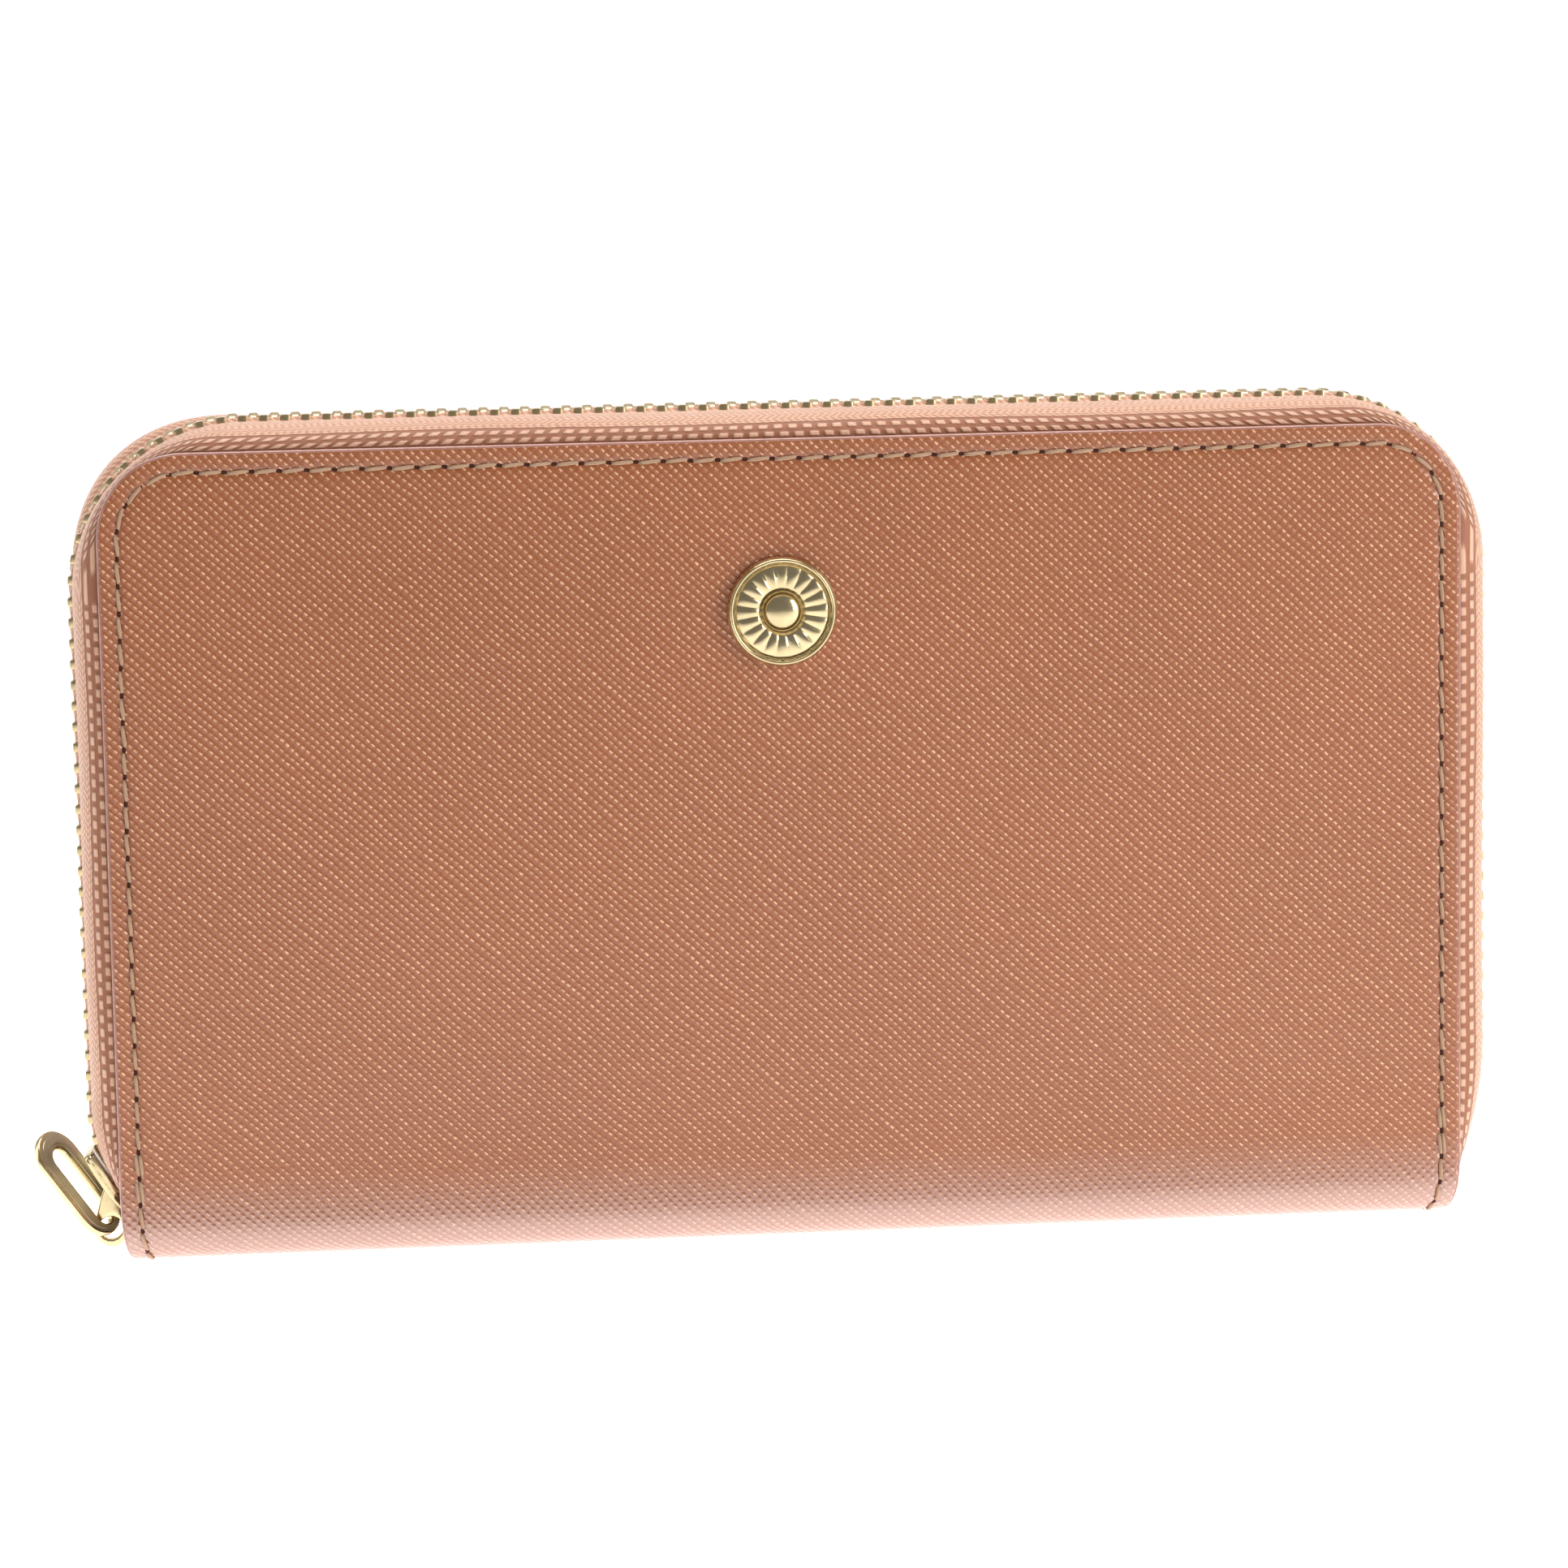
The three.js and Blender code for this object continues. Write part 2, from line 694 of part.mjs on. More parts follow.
function coinPocket() {
  for (const [label, side] of sides) coinSide(label, side);
  const floorHalf = pocketHalf - 1;
  const floorTop = pocketBottom + 0.7;
  const floorLow = [-floorHalf, -pocketChamber, pocketBottom];
  box("coin_floor", floorLow, [floorHalf, pocketChamber, floorTop], "lining");
  const endLow = floorTop + gap;
  const stopNear = coinChainHalfRun + gap;
  const stopFar = coinChainHalfRun + 2;
  for (const [label, end] of ends) {
    const wall = [pocketHalf - 0.6, pocketHalf, pocketChamber, endLow, pocketTop];
    coinEndBox(`coin_end_${label}`, end, ...wall, "lining");
    const stop = [stopNear, stopFar, coinTeeth.base, coinChainLow, coinChainHigh];
    coinEndBox(`coin_stop_${label}`, end, ...stop, "gold");
  }
}

const coinSliderX = -coinChainHalfRun + 4.5;
const coinClearance = 0.4;
const coinPlate = 0.9;
const coinPlateLow = coinChainHigh + coinClearance;
const coinPlateHigh = coinPlateLow + coinPlate;
const coinPivotHeight = coinPlateHigh + 1.1;

function coinSlider() {
  const halfL = 3.6;
  const halfTop = 3.1;
  const halfUnder = 1.6;
  const under = coinChainLow - coinClearance;
  const wedge = { near: 1.4, far: 3.2, half: 0.2, overlap: 0.3 };
  const wedgeLow = [wedge.near, -wedge.half, under - wedge.overlap];
  const wedgeHigh = [wedge.far, wedge.half, coinPlateLow + wedge.overlap];
  const pieces = [
    boxGeometry([-halfL, -halfTop, coinPlateLow], [halfL, halfTop, coinPlateHigh]),
    boxGeometry([-halfL, -halfUnder, under - coinPlate], [halfL, halfUnder, under]),
    boxGeometry(wedgeLow, wedgeHigh),
    coinBridge(),
  ];
  const mesh = add("coin_slider", union(pieces), "gold");
  mesh.position.x = coinSliderX;
}

// A small arch along the coin slider that its tab hangs in.
function coinBridge() {
  const low = coinPlateHigh - 0.3;
  const shoulder = coinPivotHeight + 0.6;
  const crown = coinPivotHeight + 1.7;
  const arch = polygon([
    [-2.6, low],
    [2.6, low],
    [2.6, shoulder],
    [1.6, crown],
    [-1.6, crown],
    [-2.6, shoulder],
  ]);
  arch.holes.push(circleHole(0, coinPivotHeight, 0.95, 10));
  return strap(arch, 1.2);
}

// The tab lies along the pocket's mouth, its eye around the arch.
function coinPuller() {
  const length = 15;
  const back = -0.5;
  const halfW = 2.4;
  const chamfer = 1.5;
  const thickness = 0.8;
  const eyeHalf = 1.2;
  const eyeNear = 0.5;
  const eyeFar = 5.2;
  const outline = polygon([
    [back, -halfW],
    [length - chamfer, -halfW],
    [length, -halfW + chamfer],
    [length, halfW - chamfer],
    [length - chamfer, halfW],
    [back, halfW],
  ]);
  const eye = new THREE.Path();
  eye.moveTo(eyeNear, -eyeHalf);
  eye.lineTo(eyeNear, eyeHalf);
  eye.lineTo(eyeFar, eyeHalf);
  eye.lineTo(eyeFar, -eyeHalf);
  outline.holes.push(eye);
  const geometry = extruded(outline, thickness).translate(0, 0, -thickness / 2);
  const mesh = add("coin_puller", geometry, "gold");
  mesh.position.set(coinSliderX, 0, coinPivotHeight);
}

// ---- pleated gussets ----

const gussetInset = 13;
const gussetFold = 18;
const gussetCloth = 0.4;
const gussetLow = 10;
const gussetHigh = pocketTop + 4;

// One inward fold at each end of each note compartment.
function gusset(endLabel, end, sideLabel, side) {
  const mouth = halfWidth - gussetInset;
  const fold = mouth - gussetFold;
  const near = slipInner - slotLayers * (slotSheet + gap) - gussetCloth;
  const far = pocketHalfGap + pocketWall + gap;
  const middle = (near + far) / 2;
  const halfFold = gussetCloth / 2;
  const outline = [
    [mouth, near],
    [fold, middle + halfFold],
    [fold, middle - halfFold],
    [mouth, far],
    [mouth, far + gussetCloth],
    [fold + 3 * gussetCloth, middle],
    [mouth, near - gussetCloth],
  ];
  const placed = outline.map(([x, y]) => [end * x, side * y]);
  const geometry = extruded(polygon(placed), gussetHigh - gussetLow);
  const mesh = add(`gusset_${endLabel}_${sideLabel}`, geometry, "lining");
  mesh.position.z = gussetLow;
}

// ---- the wallet ----

spine();
coverHalf("front", -1);
coverHalf("back", 1);
emblem();
emblemBacking();
zip();
bottomStop();
slider();
puller();
coinPocket();
coinSlider();
coinPuller();
for (const [endLabel, end] of ends) {
  gusset(endLabel, end, "front", -1);
  gusset(endLabel, end, "back", 1);
}

export default wallet;
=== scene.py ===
"""Zip around wallet: the looks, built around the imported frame. Lengths are metres."""

import math

import bmesh
import bpy
import numpy as np
from mathutils import Matrix, Vector


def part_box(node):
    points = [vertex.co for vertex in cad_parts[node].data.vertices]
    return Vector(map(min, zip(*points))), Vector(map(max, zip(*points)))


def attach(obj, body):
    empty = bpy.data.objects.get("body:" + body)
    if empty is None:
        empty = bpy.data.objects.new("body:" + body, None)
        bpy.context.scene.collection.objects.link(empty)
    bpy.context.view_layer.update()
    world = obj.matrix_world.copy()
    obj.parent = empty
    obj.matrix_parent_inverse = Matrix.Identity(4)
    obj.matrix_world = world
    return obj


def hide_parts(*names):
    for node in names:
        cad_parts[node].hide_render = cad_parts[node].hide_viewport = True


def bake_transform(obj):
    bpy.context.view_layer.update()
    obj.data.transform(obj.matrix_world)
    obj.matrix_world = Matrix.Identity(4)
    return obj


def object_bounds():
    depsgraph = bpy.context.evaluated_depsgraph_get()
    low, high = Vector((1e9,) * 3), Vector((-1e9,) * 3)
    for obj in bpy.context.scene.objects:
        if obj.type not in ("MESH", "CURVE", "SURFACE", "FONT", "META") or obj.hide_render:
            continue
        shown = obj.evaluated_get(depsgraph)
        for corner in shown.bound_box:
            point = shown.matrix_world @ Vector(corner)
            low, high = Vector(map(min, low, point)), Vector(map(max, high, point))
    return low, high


MM = 0.001
FRONT, BACK = -1, 1
SIDES = (("front", FRONT), ("back", BACK))
LEFT, RIGHT = -1, 1
ENDS = (("left", LEFT), ("right", RIGHT))

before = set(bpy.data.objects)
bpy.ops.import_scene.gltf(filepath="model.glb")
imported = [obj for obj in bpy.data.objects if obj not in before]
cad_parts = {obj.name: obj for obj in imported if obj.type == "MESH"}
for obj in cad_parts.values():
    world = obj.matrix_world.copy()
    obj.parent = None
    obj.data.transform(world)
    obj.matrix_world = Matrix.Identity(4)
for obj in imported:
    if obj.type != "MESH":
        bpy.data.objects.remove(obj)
cad_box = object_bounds()

# ---- the leather: sizes read from the frame, and the ones that its boxes don't hold ----
cover_low, cover_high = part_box("cover_front")
HALF_WIDTH = cover_high.x
HALF_DEPTH = -cover_low.y
TOP = cover_high.z
LEATHER = cover_high.y - cover_low.y
FOLD_RADIUS = 6 * MM
CORNER = 11.5 * MM
SPINE_FLAT = HALF_DEPTH - FOLD_RADIUS
FOLD_RUN = FOLD_RADIUS * math.pi / 2
WRAP_TOP = SPINE_FLAT + FOLD_RUN + TOP - FOLD_RADIUS
HINGE = (0, 4 * MM), (0, 14 * MM)

# The leather is drawn in by this share of its width at the fold, between these two lengths.
NARROWED = 0.014
NARROW_START, NARROW_FULL = 19 * MM, 8 * MM
# Lengths from the middle of the spine where the fold's polish is full, and where it ends.
POLISH_FULL, POLISH_END = 12.5 * MM, 23 * MM

# Distances from its edge at which the leather has points, close to the edge.
NEAR_EDGE = np.array([0, 0.05, 0.12, 0.22, 0.36, 0.6, 1.0, 1.6, 2.05, 2.3, 2.55, 2.8, 3.05, 3.5, 4.4, 6]) * MM
# Further in: rows between two drops from the top edge and their step, in millimetres, then counts.
GRID_START, GRID_END, GRID_STEP, FOLD_ROWS, MIDDLE_COLUMNS = 7, 103, 1.6, 30, 40
EDGE_ROLL = 0.42 * MM
EDGE_TURN, EDGE_TURN_RUN, BACK_GAP = 0.3 * MM, 0.4 * MM, 0.05 * MM
CROWN, CROWN_START, CROWN_RUN, UPRIGHT_RUN = 0.22 * MM, 3 * MM, 22 * MM, 20 * MM
SWAY, SWAY_ACROSS, SWAY_ALONG, SWAY_RUN = 0.05 * MM, 17 * MM, 13 * MM, 9 * MM
PAINT_HALF_WIDTH, PAINT_HALF_DEPTH, PAINT_INSET, PAINT_LIFT = 0.3 * MM, 0.53 * MM, 0.12 * MM, 0.03 * MM
PAINT_STEP = 0.8 * MM

# ---- the seam ----
STITCH_PITCH = 3.65 * MM
STITCH_INSET = 2.55 * MM
STITCH_GAP = 0.42 * MM
STITCH_LEAN, LEAN_SPREAD, SIDE_SPREAD = 0.3 * MM, 0.05 * MM, 0.03 * MM
THREAD_RADIUS, STITCH_ARCH, STITCH_SINK = 0.27 * MM, 0.2 * MM, 0.16 * MM
ROUND_SIDES = 10
CHANNEL_DEPTH, CHANNEL_WIDTH = 0.2 * MM, 0.42 * MM
TACK_LOW, TACK_HIGH = 8 * MM, 15.2 * MM
HOLE_LENGTH, HOLE_WIDTH = 0.5 * MM, 0.33 * MM
# Rings of one needle hole, from its floor up: share of its size, lift in millimetres.
HOLE_RINGS = ((0.4, -0.42), (1.0, -0.3), (0.9, -0.13), (0.3, -0.17))

# ---- the zip ----
teeth_low, teeth_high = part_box("zip_teeth_front")
CHAIN_HALF = 1.2 * MM
CHAIN_X = {LEFT: teeth_low.x + CHAIN_HALF, RIGHT: teeth_high.x - CHAIN_HALF}
CHAIN_TOP = teeth_high.z - CHAIN_HALF
CHAIN_CORNER = 23 * MM
END_CURVES = {
    LEFT: {"radius": 21 * MM, "height": 21.8 * MM, "teeth": 6.2 * MM, "tape": 16.8 * MM},
    RIGHT: {"radius": 40 * MM, "height": 24 * MM, "teeth": 10.4 * MM, "tape": 18.8 * MM},
}
STRAIGHT = {end: CHAIN_TOP - CHAIN_CORNER - END_CURVES[end]["height"] for end in (LEFT, RIGHT)}
CHAIN_BEND = CHAIN_CORNER * math.pi / 2
CHAIN_ACROSS = CHAIN_X[RIGHT] - CHAIN_X[LEFT] - 2 * CHAIN_CORNER
CHAIN_RUN = STRAIGHT[LEFT] + STRAIGHT[RIGHT] + 2 * CHAIN_BEND + CHAIN_ACROSS

TAPE_ROOT = 3.3 * MM
TAPE_OUTER = HALF_DEPTH - LEATHER - 0.3 * MM
TAPE_THICK = 0.6 * MM
TAPE_STEP = 1.3 * MM
TAPE_LEAST_REACH = 0.3 * MM
TAPE_SWAY, TAPE_SWAY_RUN, TAPE_LIFT = 0.12 * MM, 9 * MM, 0.1 * MM
# How far inside the cover's edge each point of the tape's flange lies.
TAPE_FLANGE = (5.2 * MM, 2.6 * MM, 0.6 * MM)
# The corded edge in millimetres: distance from the middle, half thickness.
TAPE_CORD = ((3.0, 0.42), (2.7, 0.78), (2.35, 0.85), (2.0, 0.75), (1.75, 0.4))
# The share of its cover's motion that the tape would take grows outwards and upwards from one point; nothing
# moves the tape.
FOLLOW_OUT, FOLLOW_UP = 0.1134 / MM, 0.031 / MM
FOLLOW_Y, FOLLOW_Z, FOLLOW_SHARE = 3.2 * MM, 16 * MM, 0.1
# The teeth would take up their cover's motion between these two heights; nothing moves them.
TEETH_BEND = (0, 12.8 * MM), (0, 45 * MM)

# Extra fullness where the tape is eased round the two top corners, left and right.
CORNER_EASE, RIDGE, RIDGE_SHARE = 50 * MM, 0.25 * MM, 1.45
CORNER_FULLNESS = {FRONT: (-0.1 * MM, 0.2 * MM), BACK: (2.4 * MM, 0.5 * MM)}
# How far the slider keeps each chain off the middle, and over what length.
PARTING, PARTING_START, PARTING_RUN = 1.55 * MM, 1.9 * MM, 4 * MM

TOOTH_PITCH, FIRST_TOOTH, LAST_TOOTH = 2.84 * MM, 0.9 * MM, 0.7 * MM
COIN_TOOTH_PITCH, FIRST_COIN_TOOTH, LAST_COIN_TOOTH = 2.5 * MM, 0.7 * MM, 0.6 * MM
# Rings of one tooth in millimetres, from the tape to its tip: across, half length, half thickness.
TOOTH_RINGS = (
    (3.15, 0.42, 0.95), (3.05, 0.62, 1.14), (2.2, 0.66, 1.18), (1.45, 0.64, 1.16), (1.05, 0.56, 0.98),
    (0.35, 0.52, 0.92), (-0.35, 0.56, 0.98), (-0.85, 0.5, 0.9), (-1.05, 0.3, 0.6),
)
COIN_TOOTH_RINGS = (
    (1.85, 0.3, 0.7), (1.75, 0.55, 0.86), (1.2, 0.58, 0.9), (0.7, 0.5, 0.78), (-0.3, 0.48, 0.72),
    (-0.6, 0.3, 0.5),
)

# ---- slider and puller, in millimetres: local X inwards, Z up along the chain ----
SLIDER_TILT = math.radians(31)
HALF_LENGTH, HALF_BREADTH = 4.75, 4.4
# How far outside and inside the chain's middle the two plates start, and how thick they are.
OUTER_GAP, INNER_GAP, PLATE = 1.6, 2.05, 1.1
PIVOT_X, PIVOT_Z, EYE = -5.4, -6.0, 1.65
PULLER_LEAN = math.radians(35)
PULLER_COCK = math.radians(28)
PULLER_LENGTH, PULLER_HALF, PULLER_BAR, PULLER_BAND, PULLER_THICK = 16.8, 4.4, 0.7, 2.8, 1.1
# Edges that turn by more degrees than these stay crisp.
CRISP, TOOTH_CRISP, MEDALLION_CRISP = 40, 50, 60

# ---- inside ----
PANEL_EDGE = np.array([0, 0.08, 0.25, 0.6])
CARD_THREAD = 0.14 * MM
GUSSET_BEND = np.array([(2.9 * MM, 0), (6.8 * MM, 0)])

# ---- camera and stage ----
YAW, PITCH, ROLL = math.radians(-5.157), math.radians(8.028), math.radians(-1.044)
AIM = Vector((0.054 * MM, -0.5 * MM, 62.14 * MM))
DISTANCE = 702.4 * MM
LENS = 116.5
# The stage's glow fades between each of these pairs, in metres: to the sides, upwards, to the front.
GLOW_ASIDE, GLOW_UP, GLOW_BEFORE = (0.8, 1.5), (1.1, 1.8), (-0.34, -0.17)
# A brighter patch right behind the object: where it starts, where it ends, and how far aside.
PATCH_START, PATCH_END, PATCH_ASIDE = (-0.03, -0.008), (0.04, 0.1), (0.12, 0.22)


# ---- shapes as (points, faces, flat coordinates) ----
def joined(shapes):
    points, faces, flats, start = [], [], [], 0
    for p, f, uv in shapes:
        points.append(np.asarray(p, float))
        flats.append(np.asarray(uv, float))
        faces.extend(tuple(i + start for i in face) for face in f)
        start += len(p)
    return np.concatenate(points), faces, np.concatenate(flats)


def moved(shape, matrix):
    p, f, uv = shape
    m = np.array(matrix, float)
    return np.asarray(p) @ m[:3, :3].T + m[:3, 3], f, uv


def run_along(path):
    """The distance from the start of a path to each of its points."""
    steps = np.linalg.norm(np.diff(path, axis=0), axis=1)
    return np.concatenate([[0], np.cumsum(steps)])


def tangents(path):
    tangent = np.gradient(path, axis=0)
    return tangent / np.linalg.norm(tangent, axis=1)[:, None]


def grid_flat(rows, columns):
    """Flat coordinates for a grid whose rows and columns lie at these lengths."""
    return np.stack(np.meshgrid(rows, columns, indexing="ij"), -1)


def skin(outer, inner, flat):
    """A closed sheet between two grids of points."""
    rows, cols = outer.shape[:2]
    n = rows * cols
    ids = np.arange(n).reshape(rows, cols)
    faces = []
    for a, b, c, d in zip(*(q.ravel() for q in (ids[:-1, :-1], ids[:-1, 1:], ids[1:, 1:], ids[1:, :-1]))):
        faces += [(a, b, c, d), (n + a, n + d, n + c, n + b)]
    rim = np.concatenate([ids[0], ids[1:, -1], ids[-1, -2::-1], ids[-2:0:-1, 0]])
    faces += [(a, n + a, n + b, b) for a, b in zip(rim, np.roll(rim, -1))]
    points = np.concatenate([outer.reshape(-1, 3), inner.reshape(-1, 3)])
    return points, faces, np.concatenate([flat.reshape(-1, 2)] * 2)


def tube(rings, flat=None):
    """A closed body through rings of points, capped at both ends."""
    rings = np.asarray(rings, float)
    count, k = rings.shape[:2]
    faces = []
    for i in range(count - 1):
        for j in range(k):
            m = (j + 1) % k
            faces.append((i * k + j, i * k + m, (i + 1) * k + m, (i + 1) * k + j))
    faces.append(tuple(range(k - 1, -1, -1)))
    faces.append(tuple((count - 1) * k + j for j in range(k)))
    if flat is None:
        flat = np.stack([np.repeat(np.arange(count), k) * MM, np.tile(np.arange(k) / k, count)], 1)
    return rings.reshape(-1, 3), faces, np.asarray(flat, float)


def full_turn(count):
    return np.arange(count) * 2 * math.pi / count


def left_of(path):
    """Unit vectors to the left of a flat path, at each of its points."""
    return tangents(path)[:, ::-1] * (-1, 1)


def pipe(path, radii, up, sides):
    """A round thread along a short path, with a radius at each of its points."""
    path = np.asarray(path, float)
    tangent = tangents(path)
    across = np.cross(tangent, up)
    across /= np.linalg.norm(across, axis=1)[:, None]
    rise = np.cross(across, tangent)
    turn = full_turn(sides)
    radii = np.asarray(radii, float)[:, None, None]
    ring = across[:, None] * np.cos(turn)[None, :, None]
    ring = ring + rise[:, None] * np.sin(turn)[None, :, None]
    flat = np.stack([np.repeat(run_along(path), sides), np.tile(turn, len(path)) * MM], 1)
    return tube(path[:, None] + radii * ring, flat)


def plate(outlines, thickness, bevel):
    """A flat metal plate with rounded edges: X and Y outlines, thick along Z about zero."""
    curve = bpy.data.curves.new("outline", "CURVE")
    curve.dimensions = "2D"
    curve.fill_mode = "BOTH"
    curve.extrude = thickness / 2 - bevel
    curve.bevel_depth = bevel
    curve.bevel_resolution = 2
    curve.offset = -bevel
    for outline in outlines:
        spline = curve.splines.new("POLY")
        spline.points.add(len(outline) - 1)
        for point, (x, y) in zip(spline.points, outline):
            point.co = (x, y, 0, 1)
        spline.use_cyclic_u = True
    obj = linked(bpy.data.objects.new("outline", curve))
    bpy.context.view_layer.update()
    depsgraph = bpy.context.evaluated_depsgraph_get()
    solid = bpy.data.meshes.new_from_object(obj.evaluated_get(depsgraph))
    bpy.data.objects.remove(obj)
    bpy.data.curves.remove(curve)
    bm = bmesh.new()
    bm.from_mesh(solid)
    bmesh.ops.remove_doubles(bm, verts=bm.verts, dist=1e-6)
    bm.verts.ensure_lookup_table()
    points = np.array([v.co for v in bm.verts], float)
    faces = [tuple(v.index for v in f.verts) for f in bm.faces]
    bm.free()
    bpy.data.meshes.remove(solid)
    return points, faces, points[:, :2].copy()


def in_mm(*outlines):
    """Outlines drawn in millimetres, as metres."""
    return [[(x * MM, y * MM) for x, y in line] for line in outlines]


def arc(cx, cy, radius, start, end, count):
    turns = np.radians(np.linspace(start, end, count))
    return [(cx + radius * math.cos(t), cy + radius * math.sin(t)) for t in turns]


def rounded_outline(half_x, half_y, round_off, count):
    """A rectangle about the origin, with count points on each round corner."""
    points = []
    for sx, sy, start in ((1, 1, 0), (-1, 1, 90), (-1, -1, 180), (1, -1, 270)):
        centre = sx * (half_x - round_off), sy * (half_y - round_off)
        points += arc(*centre, round_off, start, start + 90, count)
    return points


def rounded_box(half_x, half_y, half_z, round_off):
    """A box with rounded edges, about the origin."""
    return plate([rounded_outline(half_x, half_y, round_off, 4)], 2 * half_z, round_off)


def smoothed(points, rounds=2):
    """Corner cutting, for outlines that have no sharp turn."""
    points = np.asarray(points, float)
    for _ in range(rounds):
        after = np.roll(points, -1, axis=0)
        cut = np.stack([0.75 * points + 0.25 * after, 0.25 * points + 0.75 * after], 1)
        points = cut.reshape(-1, 2)
    return [tuple(p) for p in points]


def make(name, shape, materials, sharp):
    """A mesh object from a shape; edges bent by more than sharp degrees, if given, stay crisp."""
    points, faces, flat = shape
    mesh = bpy.data.meshes.new(name)
    mesh.from_pydata([tuple(p) for p in points], [], faces)
    layer = mesh.uv_layers.new(name="flat")
    corners = np.zeros(len(mesh.loops), np.int32)
    mesh.loops.foreach_get("vertex_index", corners)
    layer.data.foreach_set("uv", flat[corners].astype(np.float32).ravel())
    bm = bmesh.new()
    bm.from_mesh(mesh)
    bmesh.ops.recalc_face_normals(bm, faces=bm.faces)
    bm.to_mesh(mesh)
    bm.free()
    mesh.shade_smooth()
    if sharp:
        mesh.set_sharp_from_angle(angle=math.radians(sharp))
    for material in materials if isinstance(materials, list) else [materials]:
        mesh.materials.append(material)
    return linked(bpy.data.objects.new(name, mesh))


def linked(obj):
    bpy.context.scene.collection.objects.link(obj)
    return obj


def settle(obj, slot, *nodes):
    """The piece stands for its CAD nodes, if any, which are hidden; its slot is not used."""
    if nodes:
        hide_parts(*nodes)


def riding(name, shape, materials, sharp, body, slot, *nodes):
    """A piece that moves with one body."""
    obj = make(name, shape, materials, sharp)
    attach(obj, body)
    settle(obj, slot, *nodes)
    return obj


def bending(name, shape, material, sharp, label, start, end, slot, *nodes):
    """A piece baked in place where it stands; its start and end, each a Y and a Z, are not used."""
    obj = make(name, shape, material, sharp)
    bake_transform(obj)
    settle(obj, slot, *nodes)
    return obj


# ---- materials ----
class Finish:
    """A Principled material and short names for the nodes that feed it."""

    def __init__(self, name, **fixed):
        self.material = bpy.data.materials.new(name)
        self.material.use_nodes = True
        self.tree = self.material.node_tree
        self.shader = self.tree.nodes["Principled BSDF"]
        for socket, value in fixed.items():
            self.shader.inputs[socket.replace("_", " ")].default_value = value

    def node(self, kind, out=0, props=(), **inputs):
        """A new node's output; an input is named, or given by its index as i0, i1 and so on."""
        made = self.tree.nodes.new(kind)
        for key, value in dict(props).items():
            setattr(made, key, value)
        for key, value in inputs.items():
            indexed = key[0] == "i" and key[1:].isdigit()
            self.feed(made.inputs[int(key[1:]) if indexed else key], value)
        return made.outputs[out]

    def feed(self, socket, value):
        if isinstance(value, bpy.types.NodeSocket):
            self.tree.links.new(value, socket)
        else:
            socket.default_value = value

    def math(self, operation, a, b=0.0, c=0.0):
        return self.node("ShaderNodeMath", 0, {"operation": operation}, i0=a, i1=b, i2=c)

    def times(self, a, b):
        return self.math("MULTIPLY", a, b)

    def plus(self, a, b):
        return self.math("ADD", a, b)

    def minus(self, a, b):
        return self.math("SUBTRACT", a, b)

    def scaled(self, value, factor, offset):
        return self.math("MULTIPLY_ADD", value, factor, offset)

    def vector(self, operation, out, **inputs):
        return self.node("ShaderNodeVectorMath", out, {"operation": operation}, **inputs)

    def flat(self):
        return self.node("ShaderNodeUVMap", 0, {"uv_map": "flat"})

    def place(self):
        return self.node("ShaderNodeTexCoord", 3)

    def part(self, vector, index):
        """The X, Y or Z of a vector."""
        return self.node("ShaderNodeSeparateXYZ", index, Vector=vector)

    def noise(self, vector, scale, detail=2.0, out=0):
        return self.node("ShaderNodeTexNoise", out, Vector=vector, Scale=scale, Detail=detail)

    def dot(self, vector, direction):
        return self.vector("DOT_PRODUCT", 1, i0=vector, i1=direction)

    def warped(self, vector, scale, reach):
        """The vector shifted to and fro by up to reach metres."""
        shift = self.noise(vector, scale, 1.0, 1)
        centred = self.vector("SUBTRACT", 0, i0=shift, i1=(0.5, 0.5, 0.5))
        return self.vector("ADD", 0, i0=vector, i1=self.vector("SCALE", 0, i0=centred, Scale=2 * reach))

    def wave(self, value, pitch):
        """0 to 1 and back over each pitch, as a cosine."""
        turned = self.times(value, 2 * math.pi / pitch)
        return self.scaled(self.math("COSINE", turned), 0.5, 0.5)

    def ramp(self, value, low, high, bottom=0.0, top=1.0):
        """Bottom at low, top at high, smooth between."""
        smooth = {"interpolation_type": "SMOOTHSTEP"}
        return self.node("ShaderNodeMapRange", 0, smooth, Value=value, i1=low, i2=high, i3=bottom, i4=top)

    def mix(self, share, first, second):
        made = self.tree.nodes.new("ShaderNodeMix")
        made.data_type = "RGBA"
        self.feed(made.inputs[0], share)
        self.feed(made.inputs[6], first)
        self.feed(made.inputs[7], second)
        return made.outputs[2]

    def finish(self, colour, roughness, height, depth, strength=1.0):
        self.feed(self.shader.inputs["Base Color"], colour)
        self.feed(self.shader.inputs["Roughness"], roughness)
        normal = self.node("ShaderNodeBump", 0, Height=height, Distance=depth, Strength=strength)
        self.feed(self.shader.inputs["Normal"], normal)
        self.feed(self.shader.inputs["Coat Normal"], normal)
        return self.material


